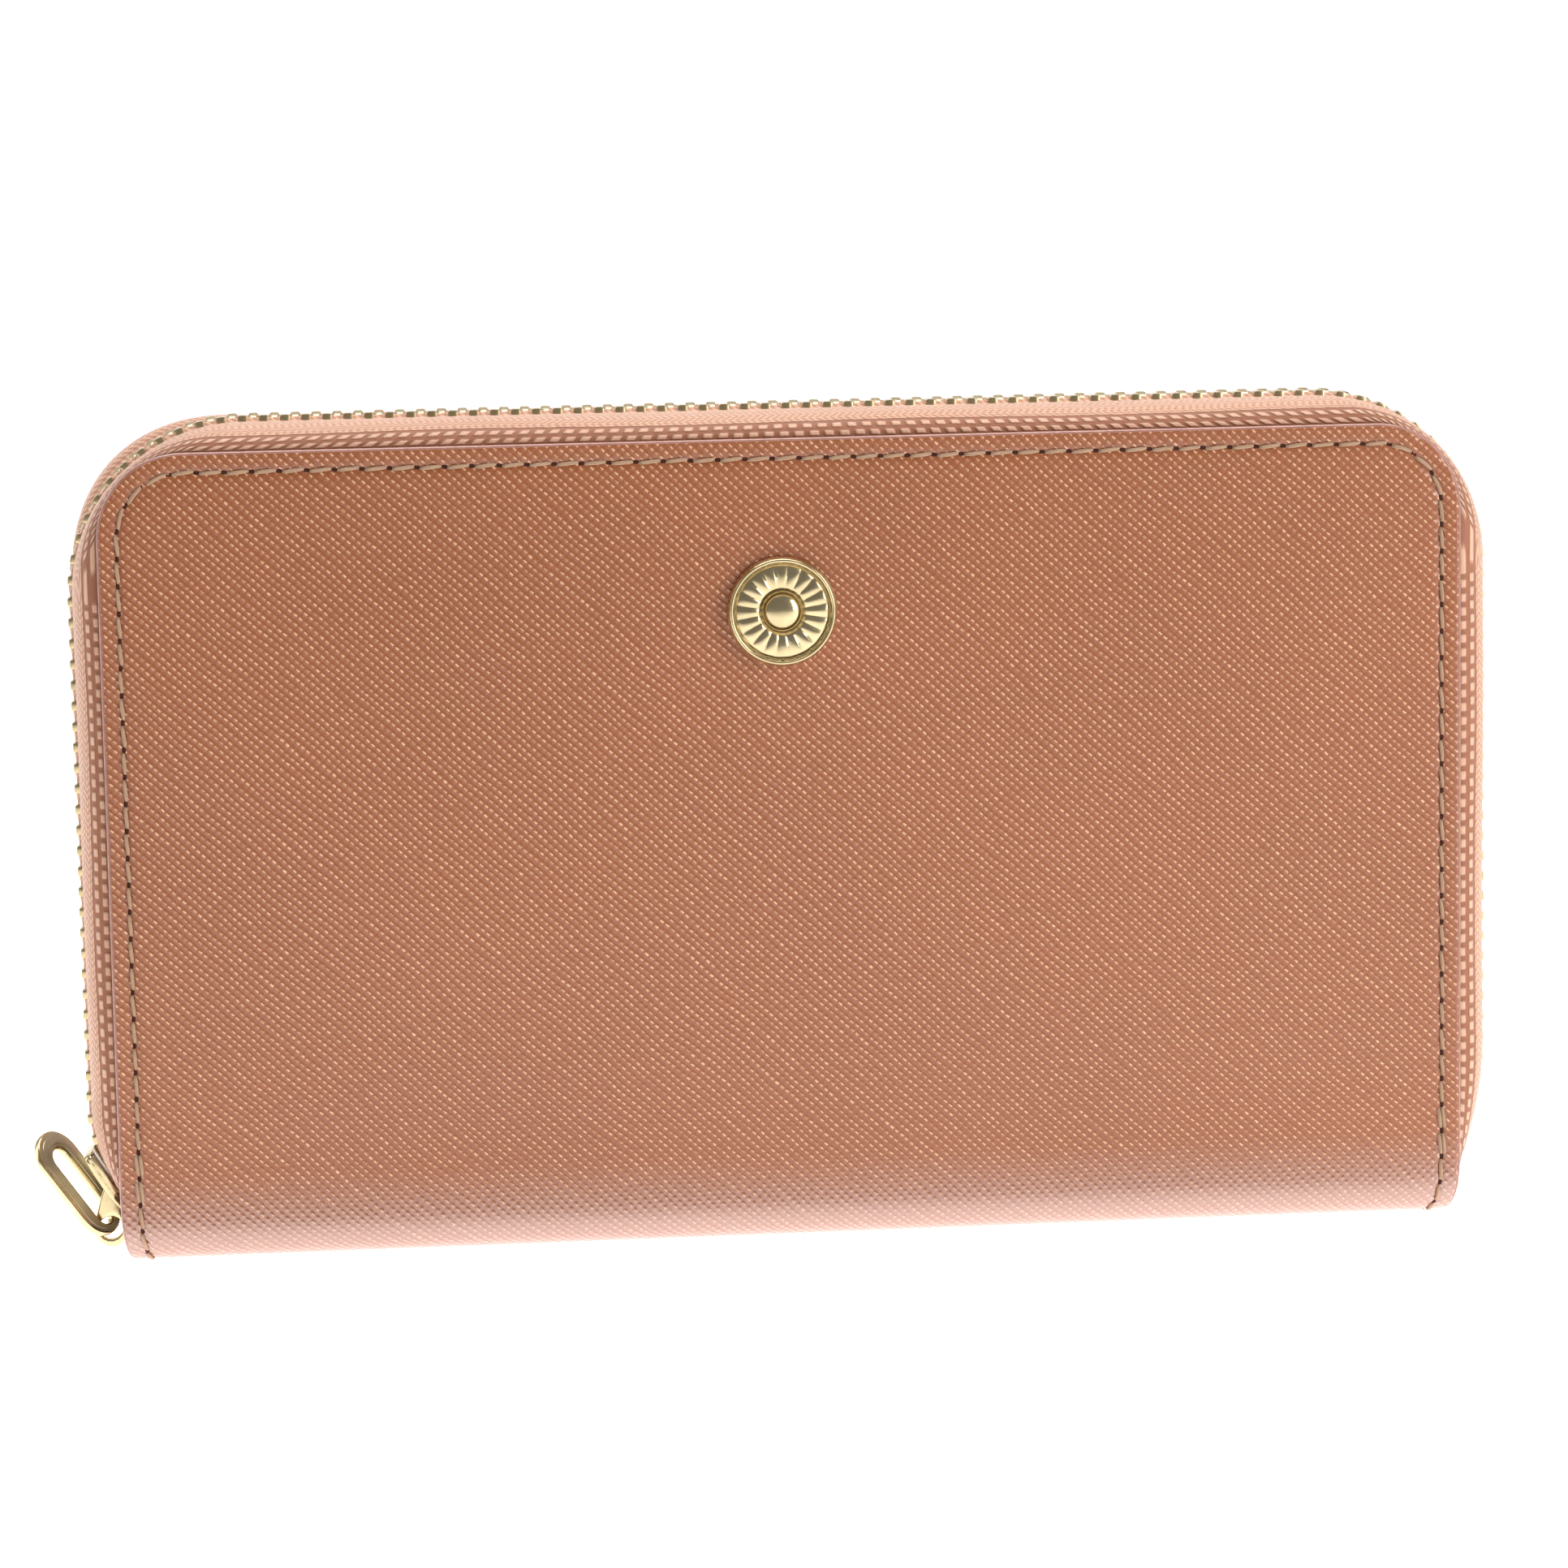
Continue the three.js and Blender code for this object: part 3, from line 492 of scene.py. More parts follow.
def grained_leather(name, base, light, dark):
    """Cross-hatched embossed leather: rows of raised dashes where two sets of grooves cross."""
    row_pitch, step_pitch, groove_shift = 0.93 * MM, 0.91 * MM, 0.27 * MM
    row_direction, step_direction = (0.676, 0.737, 0), (0.679, -0.734, 0)
    row_wander, relief_depth = 0.8 * MM, 0.075 * MM
    plain_coat, added_coat = 0.22, 0.78
    f = Finish(name, Specular_IOR_Level=0.5, Coat_IOR=2.2, Coat_Roughness=0.22)
    flat = f.flat()
    p = f.warped(f.warped(flat, 60, 0.5 * MM), 330, 0.14 * MM)
    across, along = f.dot(p, row_direction), f.dot(p, step_direction)
    drawn = f.node("ShaderNodeCombineXYZ", 0, X=across, Y=f.times(along, 0.12))
    across = f.scaled(f.noise(drawn, 420, 1.5), row_wander, across)
    rows, steps = f.wave(across, row_pitch), f.wave(along, step_pitch)
    # The dashes are lighter: partly the leather's own paler tips, partly painted highlight on their lit
    # flanks.
    highlight_dash = f.times(f.ramp(rows, 0.74, 1.0), f.ramp(steps, 0.12, 0.62))
    highlight_dash = f.times(highlight_dash, f.ramp(f.noise(flat, 900, 2.0), 0.34, 0.64, 0.25, 1.0))
    # Painted shade: darker in the grooves beside each row of dashes and in the hollows between the raised
    # cells.
    beside = f.wave(f.minus(across, groove_shift), row_pitch)
    groove_shade = f.times(f.ramp(beside, 0.55, 1.0), f.ramp(steps, 0.2, 0.9, 0.3, 1.0))
    between = f.times(f.minus(1.0, rows), f.minus(1.0, steps))
    cloud = f.ramp(f.noise(flat, 26, 3.0), 0.3, 0.72)
    colour = f.mix(cloud, base, tuple(0.93 * v for v in base[:3]) + (1,))
    colour = f.mix(f.times(groove_shade, 0.35), colour, dark)
    colour = f.mix(f.times(between, 0.6), colour, dark)
    colour = f.mix(f.times(highlight_dash, 0.85), colour, light)
    relief = f.times(f.scaled(rows, 0.8, 0.2), f.scaled(steps, 0.5, 0.5))
    height = f.plus(relief, f.times(f.noise(flat, 2600, 2.0), 0.18))
    polish = f.ramp(f.math("ABSOLUTE", f.part(flat, 1)), POLISH_FULL, POLISH_END, 1.0, 0.0)
    colour = f.mix(f.times(polish, 0.5), colour, dark)
    f.feed(f.shader.inputs["Coat Weight"], f.scaled(polish, added_coat, plain_coat))
    height = f.times(height, f.scaled(polish, 0.9, 1.0))
    return f.finish(colour, f.scaled(highlight_dash, -0.14, 0.5), height, relief_depth)


def smooth_leather(name, base, dark):
    """Fine pebbled calf for the pockets."""
    f = Finish(name, Specular_IOR_Level=0.4)
    flat = f.flat()
    cells = f.node("ShaderNodeTexVoronoi", 0, Vector=f.warped(flat, 900, 0.1 * MM), Scale=1500.0)
    crease = f.ramp(cells, 0.0, 0.75)
    cloud = f.noise(flat, 40, 3.0)
    # Painted shade: darker in the creases between the pebbles.
    colour = f.mix(f.times(crease, 0.45), base, dark)
    colour = f.mix(f.times(cloud, 0.3), colour, dark)
    return f.finish(colour, f.scaled(cloud, 0.15, 0.45), f.minus(1.0, crease), 0.05 * MM)


def edge_paint(name, base, dark):
    f = Finish(name, Coat_Weight=0.6, Coat_Roughness=0.2)
    cloud = f.noise(f.place(), 900, 3.0)
    colour = f.mix(f.ramp(cloud, 0.3, 0.7), base, dark)
    return f.finish(colour, f.scaled(cloud, 0.2, 0.25), cloud, 0.03 * MM)


def thread(name, base, dark):
    """Twisted thread: plies run round it as a helix."""
    f = Finish(name, Specular_IOR_Level=0.5, Sheen_Weight=0.25, Sheen_Roughness=0.4)
    flat = f.flat()
    ply = f.wave(f.dot(flat, (1, 1, 0)), 0.5 * MM)
    fibre = f.noise(flat, 6000, 2.0)
    # Painted shade: the thread is darker in the gaps between its plies.
    share = f.scaled(ply, 0.65, f.times(fibre, 0.35))
    return f.finish(f.mix(share, dark, base), 0.5, f.plus(ply, f.times(fibre, 0.4)), 0.07 * MM)


def woven_tape(name, base, dark, shade):
    """Zip tape: two rows of chunky knots beside the cover, then herringbone up to the teeth."""
    knot_row, knot_pitch = 1.2 * MM, 1.9 * MM
    twill_pitch, weft_pitch, zigzag_run = 0.95 * MM, 0.55 * MM, 1.1 * MM
    knots_end, twill_start = 2.4 * MM, 2.9 * MM
    f = Finish(name, Specular_IOR_Level=0.35, Sheen_Weight=0.4, Sheen_Roughness=0.4)
    flat = f.flat()
    p = f.warped(flat, 500, 0.1 * MM)
    along, across = f.part(p, 0), f.part(p, 1)
    row = f.math("FLOOR", f.math("DIVIDE", across, knot_row))
    stagger = f.scaled(row, knot_pitch * 0.45, along)
    knot_long = f.ramp(f.wave(stagger, knot_pitch), 0.02, 0.75)
    knot_wide = f.ramp(f.wave(f.plus(across, knot_row / 2), knot_row), 0.05, 0.85)
    knot = f.times(knot_long, knot_wide)
    twill = f.wave(f.scaled(f.math("PINGPONG", across, zigzag_run), 0.9, along), twill_pitch)
    weft = f.wave(across, weft_pitch)
    fine = f.times(f.scaled(twill, 0.7, 0.3), f.scaled(weft, 0.55, 0.45))
    zone = f.ramp(across, knots_end, twill_start)
    height = f.scaled(zone, f.minus(f.scaled(fine, 0.6, 0.2), knot), knot)
    # Painted shade: the weave is darker where it lies low, between knots and threads; the noise below adds
    # random tone.
    colour = f.mix(f.ramp(height, 0.05, 0.75), dark, base)
    colour = f.mix(f.times(f.noise(flat, 60, 2.0), 0.25), colour, shade)
    return f.finish(colour, 0.62, height, 0.22 * MM)


def lining_cloth(name, base, dark):
    """Satin twill cloth."""
    f = Finish(name, Specular_IOR_Level=0.35, Sheen_Weight=0.3, Sheen_Roughness=0.5)
    flat = f.flat()
    twill = f.wave(f.dot(flat, (0.71, 0.71, 0)), 0.45 * MM)
    weft = f.wave(f.dot(flat, (0, 1, 0)), 0.32 * MM)
    height = f.scaled(twill, 0.7, f.times(weft, 0.3))
    # Painted shade: the cloth is darker in the low lines of its twill, with random tone besides.
    share = f.scaled(height, 0.6, f.times(f.noise(flat, 35, 3.0), 0.35))
    return f.finish(f.mix(share, dark, base), 0.7, height, 0.06 * MM)


def metal(name, base, roughness, brushed=0.0):
    """Plated metal with faint waviness, wear and a fine polish grain."""
    f = Finish(name, Metallic=1.0)
    place = f.place()
    wear, grain = f.noise(place, 260, 4.0), f.noise(place, 4200, 2.0)
    colour = f.mix(f.ramp(wear, 0.35, 0.8), base, tuple(0.8 * v for v in base[:3]) + (1,))
    rough = f.plus(f.scaled(wear, 0.1, roughness), f.times(grain, brushed))
    height = f.plus(f.times(wear, 0.7), f.times(grain, 0.3))
    return f.finish(colour, rough, height, 0.02 * MM, 0.6)


def grey_board(name, base, dark, fleck):
    """Pressed fibre board with darker flecks."""
    f = Finish(name, Specular_IOR_Level=0.2)
    place = f.place()
    fibre = f.noise(place, 1800, 5.0)
    speck = f.ramp(f.noise(place, 5200, 2.0), 0.62, 0.72)
    colour = f.mix(f.ramp(fibre, 0.3, 0.7), dark, base)
    return f.finish(f.mix(f.times(speck, 0.5), colour, fleck), 0.9, fibre, 0.08 * MM)


# Painted shade: a near-black body in each needle hole, where the hole's shadow falls.
def hole_shade_finish(name, base, light):
    f = Finish(name, Specular_IOR_Level=0.1)
    shade = f.noise(f.place(), 3000, 2.0)
    return f.finish(f.mix(shade, base, light), 0.95, shade, 0.05 * MM)


# PALE_TAN is the dashes' colour, partly paler tips and partly painted highlight; DARK_TAN is painted shade in
# the grooves and hollows, and darkens the polished fold.
TAN, PALE_TAN, DARK_TAN = (0.305, 0.082, 0.016, 1), (0.80, 0.50, 0.29, 1), (0.22, 0.055, 0.012, 1)
saffiano = grained_leather("saffiano", TAN, PALE_TAN, DARK_TAN)
calf = smooth_leather("pocket_calf", (0.50, 0.22, 0.115, 1), (0.36, 0.14, 0.07, 1))
paint = edge_paint("edge_paint", (0.36, 0.16, 0.115, 1), (0.28, 0.115, 0.08, 1))
beige_thread = thread("beige_thread", (0.70, 0.45, 0.27, 1), (0.34, 0.17, 0.085, 1))
tape_weave = woven_tape("zip_tape_weave", (0.66, 0.39, 0.26, 1), (0.27, 0.10, 0.05, 1), (0.4, 0.17, 0.09, 1))
tan_cloth = lining_cloth("tan_lining", (0.52, 0.33, 0.20, 1), (0.36, 0.21, 0.12, 1))
pale_gold = metal("pale_gold", (0.62, 0.50, 0.29, 1), 0.16)
satin_gold = metal("satin_gold", (0.55, 0.52, 0.43, 1), 0.45, 0.1)
tooth_gold = metal("tooth_gold", (0.58, 0.45, 0.25, 1), 0.27)
steel = metal("steel", (0.55, 0.55, 0.54, 1), 0.32, 0.15)
board = grey_board("grey_board", (0.60, 0.55, 0.46, 1), (0.45, 0.40, 0.33, 1), (0.25, 0.2, 0.16, 1))
# The needle holes' near-black is painted shade.
hole_shade = hole_shade_finish("needle_hole", (0.035, 0.012, 0.008, 1), (0.075, 0.028, 0.018, 1))


# ---- the leather wrap: X across, S along the leather from the middle of the spine ----
def wrap_frame(s):
    """Distance from the middle plane, height and the outward normal, at each length s."""
    s = np.asarray(s, float)
    turn = np.clip((s - SPINE_FLAT) / FOLD_RADIUS, 0, math.pi / 2)
    y = np.minimum(s, SPINE_FLAT) + FOLD_RADIUS * np.sin(turn)
    z = FOLD_RADIUS * (1 - np.cos(turn)) + np.maximum(s - SPINE_FLAT - FOLD_RUN, 0)
    return y, z, np.sin(turn), -np.cos(turn)


def on_wrap(side, x, s, lift):
    """Points at x and s on one side's leather, lifted off its surface."""
    y, z, ny, nz = wrap_frame(s)
    x, lift = np.broadcast_arrays(np.asarray(x, float), lift)
    drawn_in = NARROWED * np.clip((NARROW_START - s) / (NARROW_START - NARROW_FULL), 0, 1) ** 2
    return np.stack([x * (1 - drawn_in) + 0 * y, side * (y + ny * lift), z + nz * lift], -1)


def edge_distance(x, s):
    """How far a point of the wrap is from its painted edge."""
    ax = np.abs(x)
    plain = np.minimum(HALF_WIDTH - ax, WRAP_TOP - s)
    cx, cs = ax - (HALF_WIDTH - CORNER), s - (WRAP_TOP - CORNER)
    return np.where((cx > 0) & (cs > 0), CORNER - np.hypot(cx, cs), plain)


def row_half_width(s, half, top, corner):
    """Half the width, at height s, of a panel with rounded top corners."""
    rise = np.maximum(s - (top - corner), 0)
    return half - corner + np.sqrt(np.maximum(corner**2 - rise**2, 0))


def leather_profile(x, s):
    """How far the face stands off the plain surface: crown, edge roll and the seam's channel."""
    d, r = edge_distance(x, s), EDGE_ROLL
    rolled = np.where(d < r, r - np.sqrt(np.maximum(r**2 - (r - d) ** 2, 0)), 0)
    channel = CHANNEL_DEPTH * np.exp(-(((d - STITCH_INSET) / CHANNEL_WIDTH) ** 2))
    crown = CROWN * np.clip((d - CROWN_START) / CROWN_RUN, 0, 1) ** 0.7
    sway = SWAY * np.sin(x / SWAY_ACROSS + 1.3) * np.sin(s / SWAY_ALONG + 0.4)
    inner = np.clip((d - CROWN_START) / SWAY_RUN, 0, 1)
    upright = np.clip((s - SPINE_FLAT - FOLD_RUN) / UPRIGHT_RUN, 0, 1)
    return (crown + sway * inner) * upright - rolled - channel


def wrap_grid():
    """X and S of every point of the wrap, from its top edge down to the spine's middle."""
    reach = NEAR_EDGE[-1]
    drops = np.concatenate([NEAR_EDGE, np.arange(GRID_START, GRID_END, GRID_STEP) * MM])
    fold = np.linspace(WRAP_TOP - GRID_END * MM, 0, FOLD_ROWS)
    lengths = np.concatenate([WRAP_TOP - drops, fold])
    insets = np.concatenate([NEAR_EDGE, np.linspace(reach, HALF_WIDTH, MIDDLE_COLUMNS)[1:]])
    rows = []
    for s in lengths:
        width = float(row_half_width(s, HALF_WIDTH, WRAP_TOP, CORNER))
        inner = (width - reach) * (HALF_WIDTH - insets) / (HALF_WIDTH - reach)
        half = np.where(insets <= reach, width - insets, inner)
        rows.append(np.concatenate([-half, half[-2::-1]]))
    x = np.array(rows)
    return x, np.repeat(lengths[:, None], x.shape[1], 1)


def outline_length(inset):
    half, top, corner = HALF_WIDTH - inset, WRAP_TOP - inset, CORNER - inset
    return 2 * (top - corner) + corner * math.pi + 2 * (half - corner)


def outline_point(length, inset):
    """A point and outward direction on the three-sided outline, from the left of the spine."""
    half, top, corner = HALF_WIDTH - inset, WRAP_TOP - inset, CORNER - inset
    side, total = top - corner, outline_length(inset)
    if length > total / 2:
        (x, s), (nx, ns) = outline_point(total - length, inset)
        return (-x, s), (-nx, ns)
    if length < side:
        return (-half, length), (-1, 0)
    turn = (length - side) / corner
    if turn < math.pi / 2:
        c, s = math.cos(turn), math.sin(turn)
        return (corner - half - corner * c, side + corner * s), (-c, s)
    return (length - total / 2, top), (0, 1)


def leather_wraps():
    x, s = wrap_grid()
    profile = leather_profile(x, s)
    turned = EDGE_TURN * np.clip(1 - edge_distance(x, s) / EDGE_TURN_RUN, 0, 1) ** 2
    for label, side in SIDES:
        outer = on_wrap(side, x, s, profile)
        inner = on_wrap(side, x, s, BACK_GAP - LEATHER + turned)
        flat = np.stack([x, s], -1) * (1, -side)
        nodes = [f"cover_{label}"] + (["spine_cover"] if side == FRONT else [])
        shape = skin(outer, inner, flat)
        bending(f"leather_{label}", shape, saffiano, None, label, *HINGE, "leather", *nodes)


def painted_edges():
    total = outline_length(0)
    turn = full_turn(ROUND_SIDES)
    reach = PAINT_HALF_WIDTH * np.cos(turn) - PAINT_INSET
    depth = PAINT_HALF_DEPTH * np.sin(turn) - LEATHER / 2 + PAINT_LIFT
    for label, side in SIDES:
        rings, flats = [], []
        for length in np.append(np.arange(0, total, PAINT_STEP), total - 1e-6):
            (x, s), (nx, ns) = outline_point(length, 0)
            rings.append(on_wrap(side, x + nx * reach, s + ns * reach, depth))
            flats.append(np.stack([np.full(ROUND_SIDES, length), turn * MM], 1))
        shape = tube(rings, np.concatenate(flats))
        bending(f"edge_paint_{label}", shape, paint, None, label, *HINGE, "leather")


def stitch(side, start, end, lean, lateral):
    """One stitch, arched over the leather and sunk into its two holes."""
    path, radii = [], []
    for share in np.linspace(0, 1, 8):
        (x, s), (nx, ns) = outline_point(start + (end - start) * share, STITCH_INSET)
        off = lateral + lean * (share - 0.5)
        rise = math.sin(math.pi * share)
        path.append(on_wrap(side, x + nx * off, s + ns * off, STITCH_ARCH * rise**0.6 - STITCH_SINK))
        radii.append(THREAD_RADIUS * (0.72 + 0.28 * rise**0.5))
    (_, middle), _ = outline_point((start + end) / 2, STITCH_INSET)
    _, _, ny, nz = wrap_frame(middle)
    return pipe(path, radii, (0, side * float(ny), float(nz)), ROUND_SIDES)


def needle_hole(side, length):
    (x, s), (nx, ns) = outline_point(length, STITCH_INSET)
    turn = full_turn(ROUND_SIDES)
    rings = []
    for size, lift in HOLE_RINGS:
        along = HOLE_LENGTH * size * np.cos(turn)
        across = HOLE_WIDTH * size * np.sin(turn)
        rings.append(on_wrap(side, x + nx * across - ns * along, s + ns * across + nx * along, lift * MM))
    return tube(rings)


def seam_stitches():
    """The seam of each cover and its needle holes, with doubled stitches just above the fold."""
    draw = np.random.default_rng(7)
    total = outline_length(STITCH_INSET)
    count = int(total / STITCH_PITCH)
    pitch = total / count
    for label, side in SIDES:
        threads, holes = [], []
        for k in range(count):
            start, end = k * pitch + STITCH_GAP, (k + 1) * pitch - STITCH_GAP
            (_, s), _ = outline_point((start + end) / 2, STITCH_INSET)
            height = float(wrap_frame(s)[1])
            lean = STITCH_LEAN + draw.normal(0, LEAN_SPREAD)
            lateral = draw.normal(0, SIDE_SPREAD)
            doubled = TACK_LOW < height < TACK_HIGH
            for shift in (-THREAD_RADIUS, THREAD_RADIUS) if doubled else (0,):
                threads.append(stitch(side, start, end, lean, lateral + shift))
            holes.append(needle_hole(side, k * pitch))
        bending(f"stitches_{label}", joined(threads), beige_thread, None, label, *HINGE, "tape")
        bending(f"needle_holes_{label}", joined(holes[1:]), hole_shade, None, label, *HINGE, "leather")


# ---- the zip ----
def end_station(end, angle):
    """A station on the curve that tucks the left or right end of the zip in."""
    curve = END_CURVES[end]
    c, s = math.cos(angle), math.sin(angle)
    x = CHAIN_X[end] - end * curve["radius"] * (1 - c)
    z = curve["height"] - curve["radius"] * s
    reach = max(end * x - HALF_WIDTH, TAPE_LEAST_REACH)
    return x, z, end * c, -s, x - end * c * reach, z + s * reach


def chain_station(length):
    """Chain centre, outward direction and the cover's edge beside it, in X and Z."""
    end = LEFT if length < STRAIGHT[LEFT] + CHAIN_BEND + CHAIN_ACROSS / 2 else RIGHT
    if end == RIGHT:
        length = CHAIN_RUN - length
    if length < 0:
        return end_station(end, -length / END_CURVES[end]["radius"])
    if length <= STRAIGHT[end]:
        z = END_CURVES[end]["height"] + length
        return CHAIN_X[end], z, end, 0, end * HALF_WIDTH, z
    length -= STRAIGHT[end]
    if length <= CHAIN_BEND:
        c, s = math.cos(length / CHAIN_CORNER), math.sin(length / CHAIN_CORNER)
        x, z = CHAIN_X[end] - end * CHAIN_CORNER * (1 - c), CHAIN_TOP - CHAIN_CORNER * (1 - s)
        return x, z, end * c, s, end * (HALF_WIDTH - CORNER * (1 - c)), TOP - CORNER * (1 - s)
    length -= CHAIN_BEND
    edge = end * (1 - 2 * length / CHAIN_ACROSS) * (HALF_WIDTH - CORNER)
    return CHAIN_X[end] - end * (CHAIN_CORNER + length), CHAIN_TOP, 0, 1, edge, TOP


def eased(share):
    """0 to 1 with a soft start and end."""
    return share * share * (3 - 2 * share)


def parted(length):
    """How far each chain has moved off the middle where the slider keeps them apart."""
    return PARTING * eased(min(max((PARTING_START - length) / PARTING_RUN, 0.0), 1.0))


def corner_bulge(length, side):
    """Extra fullness where the tape is eased round a top corner, most of it behind the chain."""
    middles = (STRAIGHT[LEFT] + CHAIN_BEND / 2, STRAIGHT[LEFT] + CHAIN_BEND * 1.5 + CHAIN_ACROSS)
    ridge = RIDGE
    for middle, fullness in zip(middles, CORNER_FULLNESS[side]):
        ridge += fullness * eased(max(0.0, 1 - abs(length - middle) / (CORNER_EASE / 2)))
    return ridge


def tape_section(station, side, sway, ridge, spread):
    """Outer and inner points of the tape: flange, quarter ellipse, then the corded edge."""
    x, z, nx, nz, ex, ez = station
    half = TAPE_THICK / 2
    root = TAPE_ROOT + spread
    rows = [((ex - nx * under, TAPE_OUTER - half, ez - nz * under), (0, half, 0)) for under in TAPE_FLANGE]
    for turn in np.linspace(0, math.pi / 2, 15):
        s, c = math.sin(turn), math.cos(turn)
        bulge = sway * math.sin(2 * turn) + ridge * RIDGE_SHARE * s * s * math.sqrt(max(c, 0))
        across = root + (TAPE_OUTER - root - half) * c
        point = (ex + (x - ex) * s + nx * bulge, across, ez + (z - ez) * s + nz * bulge)
        rows.append((point, (nx * s * half, c * half, nz * s * half)))
    for across, grown in TAPE_CORD:
        rows.append(((x, across * MM + spread, z), (nx * grown * MM, 0, nz * grown * MM)))
    middle, half_wall = np.array(rows).swapaxes(0, 1) * (1, side, 1)
    return middle + half_wall, middle - half_wall


def tape_bend(side):
    """Where the tape would start to move with its cover, and where it would move with it fully; nothing moves
    it.
    """
    growth = np.array([side * FOLLOW_OUT, FOLLOW_UP])
    step = growth / (growth @ growth)
    start = np.array([side * FOLLOW_Y, FOLLOW_Z]) - FOLLOW_SHARE * step
    return start, start + step


def zip_tapes():
    lengths = np.arange(-END_CURVES[LEFT]["tape"], CHAIN_RUN + END_CURVES[RIGHT]["tape"], TAPE_STEP)
    for label, side in SIDES:
        sections = []
        for length in lengths:
            sway = TAPE_SWAY * math.sin(length / TAPE_SWAY_RUN + side) + TAPE_LIFT
            ridge = corner_bulge(length, side)
            sections.append(tape_section(chain_station(length), side, sway, ridge, parted(length)))
        outer, inner = np.array(sections).swapaxes(0, 1)
        across = run_along(outer[len(lengths) // 2]) - TAPE_FLANGE[0]
        shape = skin(outer, inner, grid_flat(lengths, across))
        nodes = [f"zip_tape_{label}"] + [f"zip_end_tape_{end}_{label}" for end, _ in ENDS]
        name = f"zip_tape_{label}_cloth"
        bending(name, shape, tape_weave, None, label, *tape_bend(side), "tape", *nodes)


def tooth(station, side, rings, spread=0.0):
    x, z, nx, nz = station[:4]
    made = []
    for across, half_u, half_v in rings:
        ring = []
        for u, v in rounded_outline(half_u, half_v, min(half_u, half_v) * 0.4, 3):
            px, pz = x + (nz * u + nx * v) * MM, z + (nz * v - nx * u) * MM
            ring.append((px, side * (across * MM + spread), pz))
        made.append(ring)
    return tube(made)


def zip_teeth():
    low = -END_CURVES[LEFT]["teeth"]
    high = CHAIN_RUN + END_CURVES[RIGHT]["teeth"]
    for label, side in SIDES:
        first = low + FIRST_TOOTH + (0 if side == FRONT else TOOTH_PITCH / 2)
        lengths = np.arange(first, high - LAST_TOOTH, TOOTH_PITCH)
        teeth = [tooth(chain_station(at), side, TOOTH_RINGS, parted(at)) for at in lengths]
        nodes = [f"zip_teeth_{label}"] + [f"zip_end_teeth_{end}_{label}" for end, _ in ENDS]
        name = f"zip_teeth_{label}_metal"
        bending(name, joined(teeth), tooth_gold, TOOTH_CRISP, label, *TEETH_BEND, "gold", *nodes)


def zip_end_box():
    """The retaining box at the right end, with a raised rib."""
    low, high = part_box("zip_bottom_stop")
    body = rounded_box(CHAIN_HALF, 3.1 * MM, 1.2 * MM, 0.3 * MM)
    rib = rounded_box(CHAIN_HALF + 0.15 * MM, 1.2 * MM, 0.5 * MM, 0.2 * MM)
    place = Matrix.Translation((low + high) / 2) @ Matrix.Rotation(math.radians(15), 4, "Y")
    shape = moved(joined([body, rib]), place)
    riding("zip_retaining_box", shape, pale_gold, CRISP, "spine", "gold", "zip_bottom_stop")


# ---- slider and puller ----
def stood(shape):
    """A plate drawn in X and Y, turned so that its X runs along Y, its Y along Z."""
    return moved(shape, Matrix(((0, 0, 1, 0), (1, 0, 0, 0), (0, 1, 0, 0), (0, 0, 0, 1))))


def shifted(shape, x=0.0, y=0.0, z=0.0):
    """The shape moved by millimetres."""
    return moved(shape, Matrix.Translation((x * MM, y * MM, z * MM)))


def slider_outline(margin, nose):
    """Shield outline: square shoulders above, drawn in to a rounded nose below."""
    half_w, half_l = HALF_BREADTH - margin, HALF_LENGTH - margin
    shoulder, waist, tip, waist_rise = 1.1, 0.8, 1.0, 3.0
    points = arc(half_w - shoulder, half_l - shoulder, shoulder, 0, 90, 5)
    points += arc(shoulder - half_w, half_l - shoulder, shoulder, 90, 180, 5)
    points += arc(waist - half_w, waist_rise - half_l, waist, 180, 225, 4)
    points += arc(tip - nose, tip - half_l, tip, 225, 270, 4)
    points += arc(nose - tip, tip - half_l, tip, 270, 315, 4)
    points += arc(half_w - waist, waist_rise - half_l, waist, 315, 360, 4)
    return in_mm(points)


def bail_outline():
    """The strap loop seen from the side, in local X and Z, with its hole."""
    root = 0.1 - OUTER_GAP - PLATE / 2
    around_eye = [(2.3, 1.2), (2.1, -0.6), (1.5, -2), (0, -2.8), (-1.6, -2.3), (-2.4, -0.9), (-2.45, 0.6)]
    outer = [(root, -0.4), (root, -3.6)]
    outer += [(PIVOT_X + x, PIVOT_Z + z) for x, z in around_eye + [(-1.5, 1.9)]]
    outer += [(-5.6, -2.9), (-4.1, -1.5), (-3.0, -0.6)]
    return in_mm(smoothed(outer), arc(PIVOT_X, PIVOT_Z, EYE, 0, 337.5, 16))


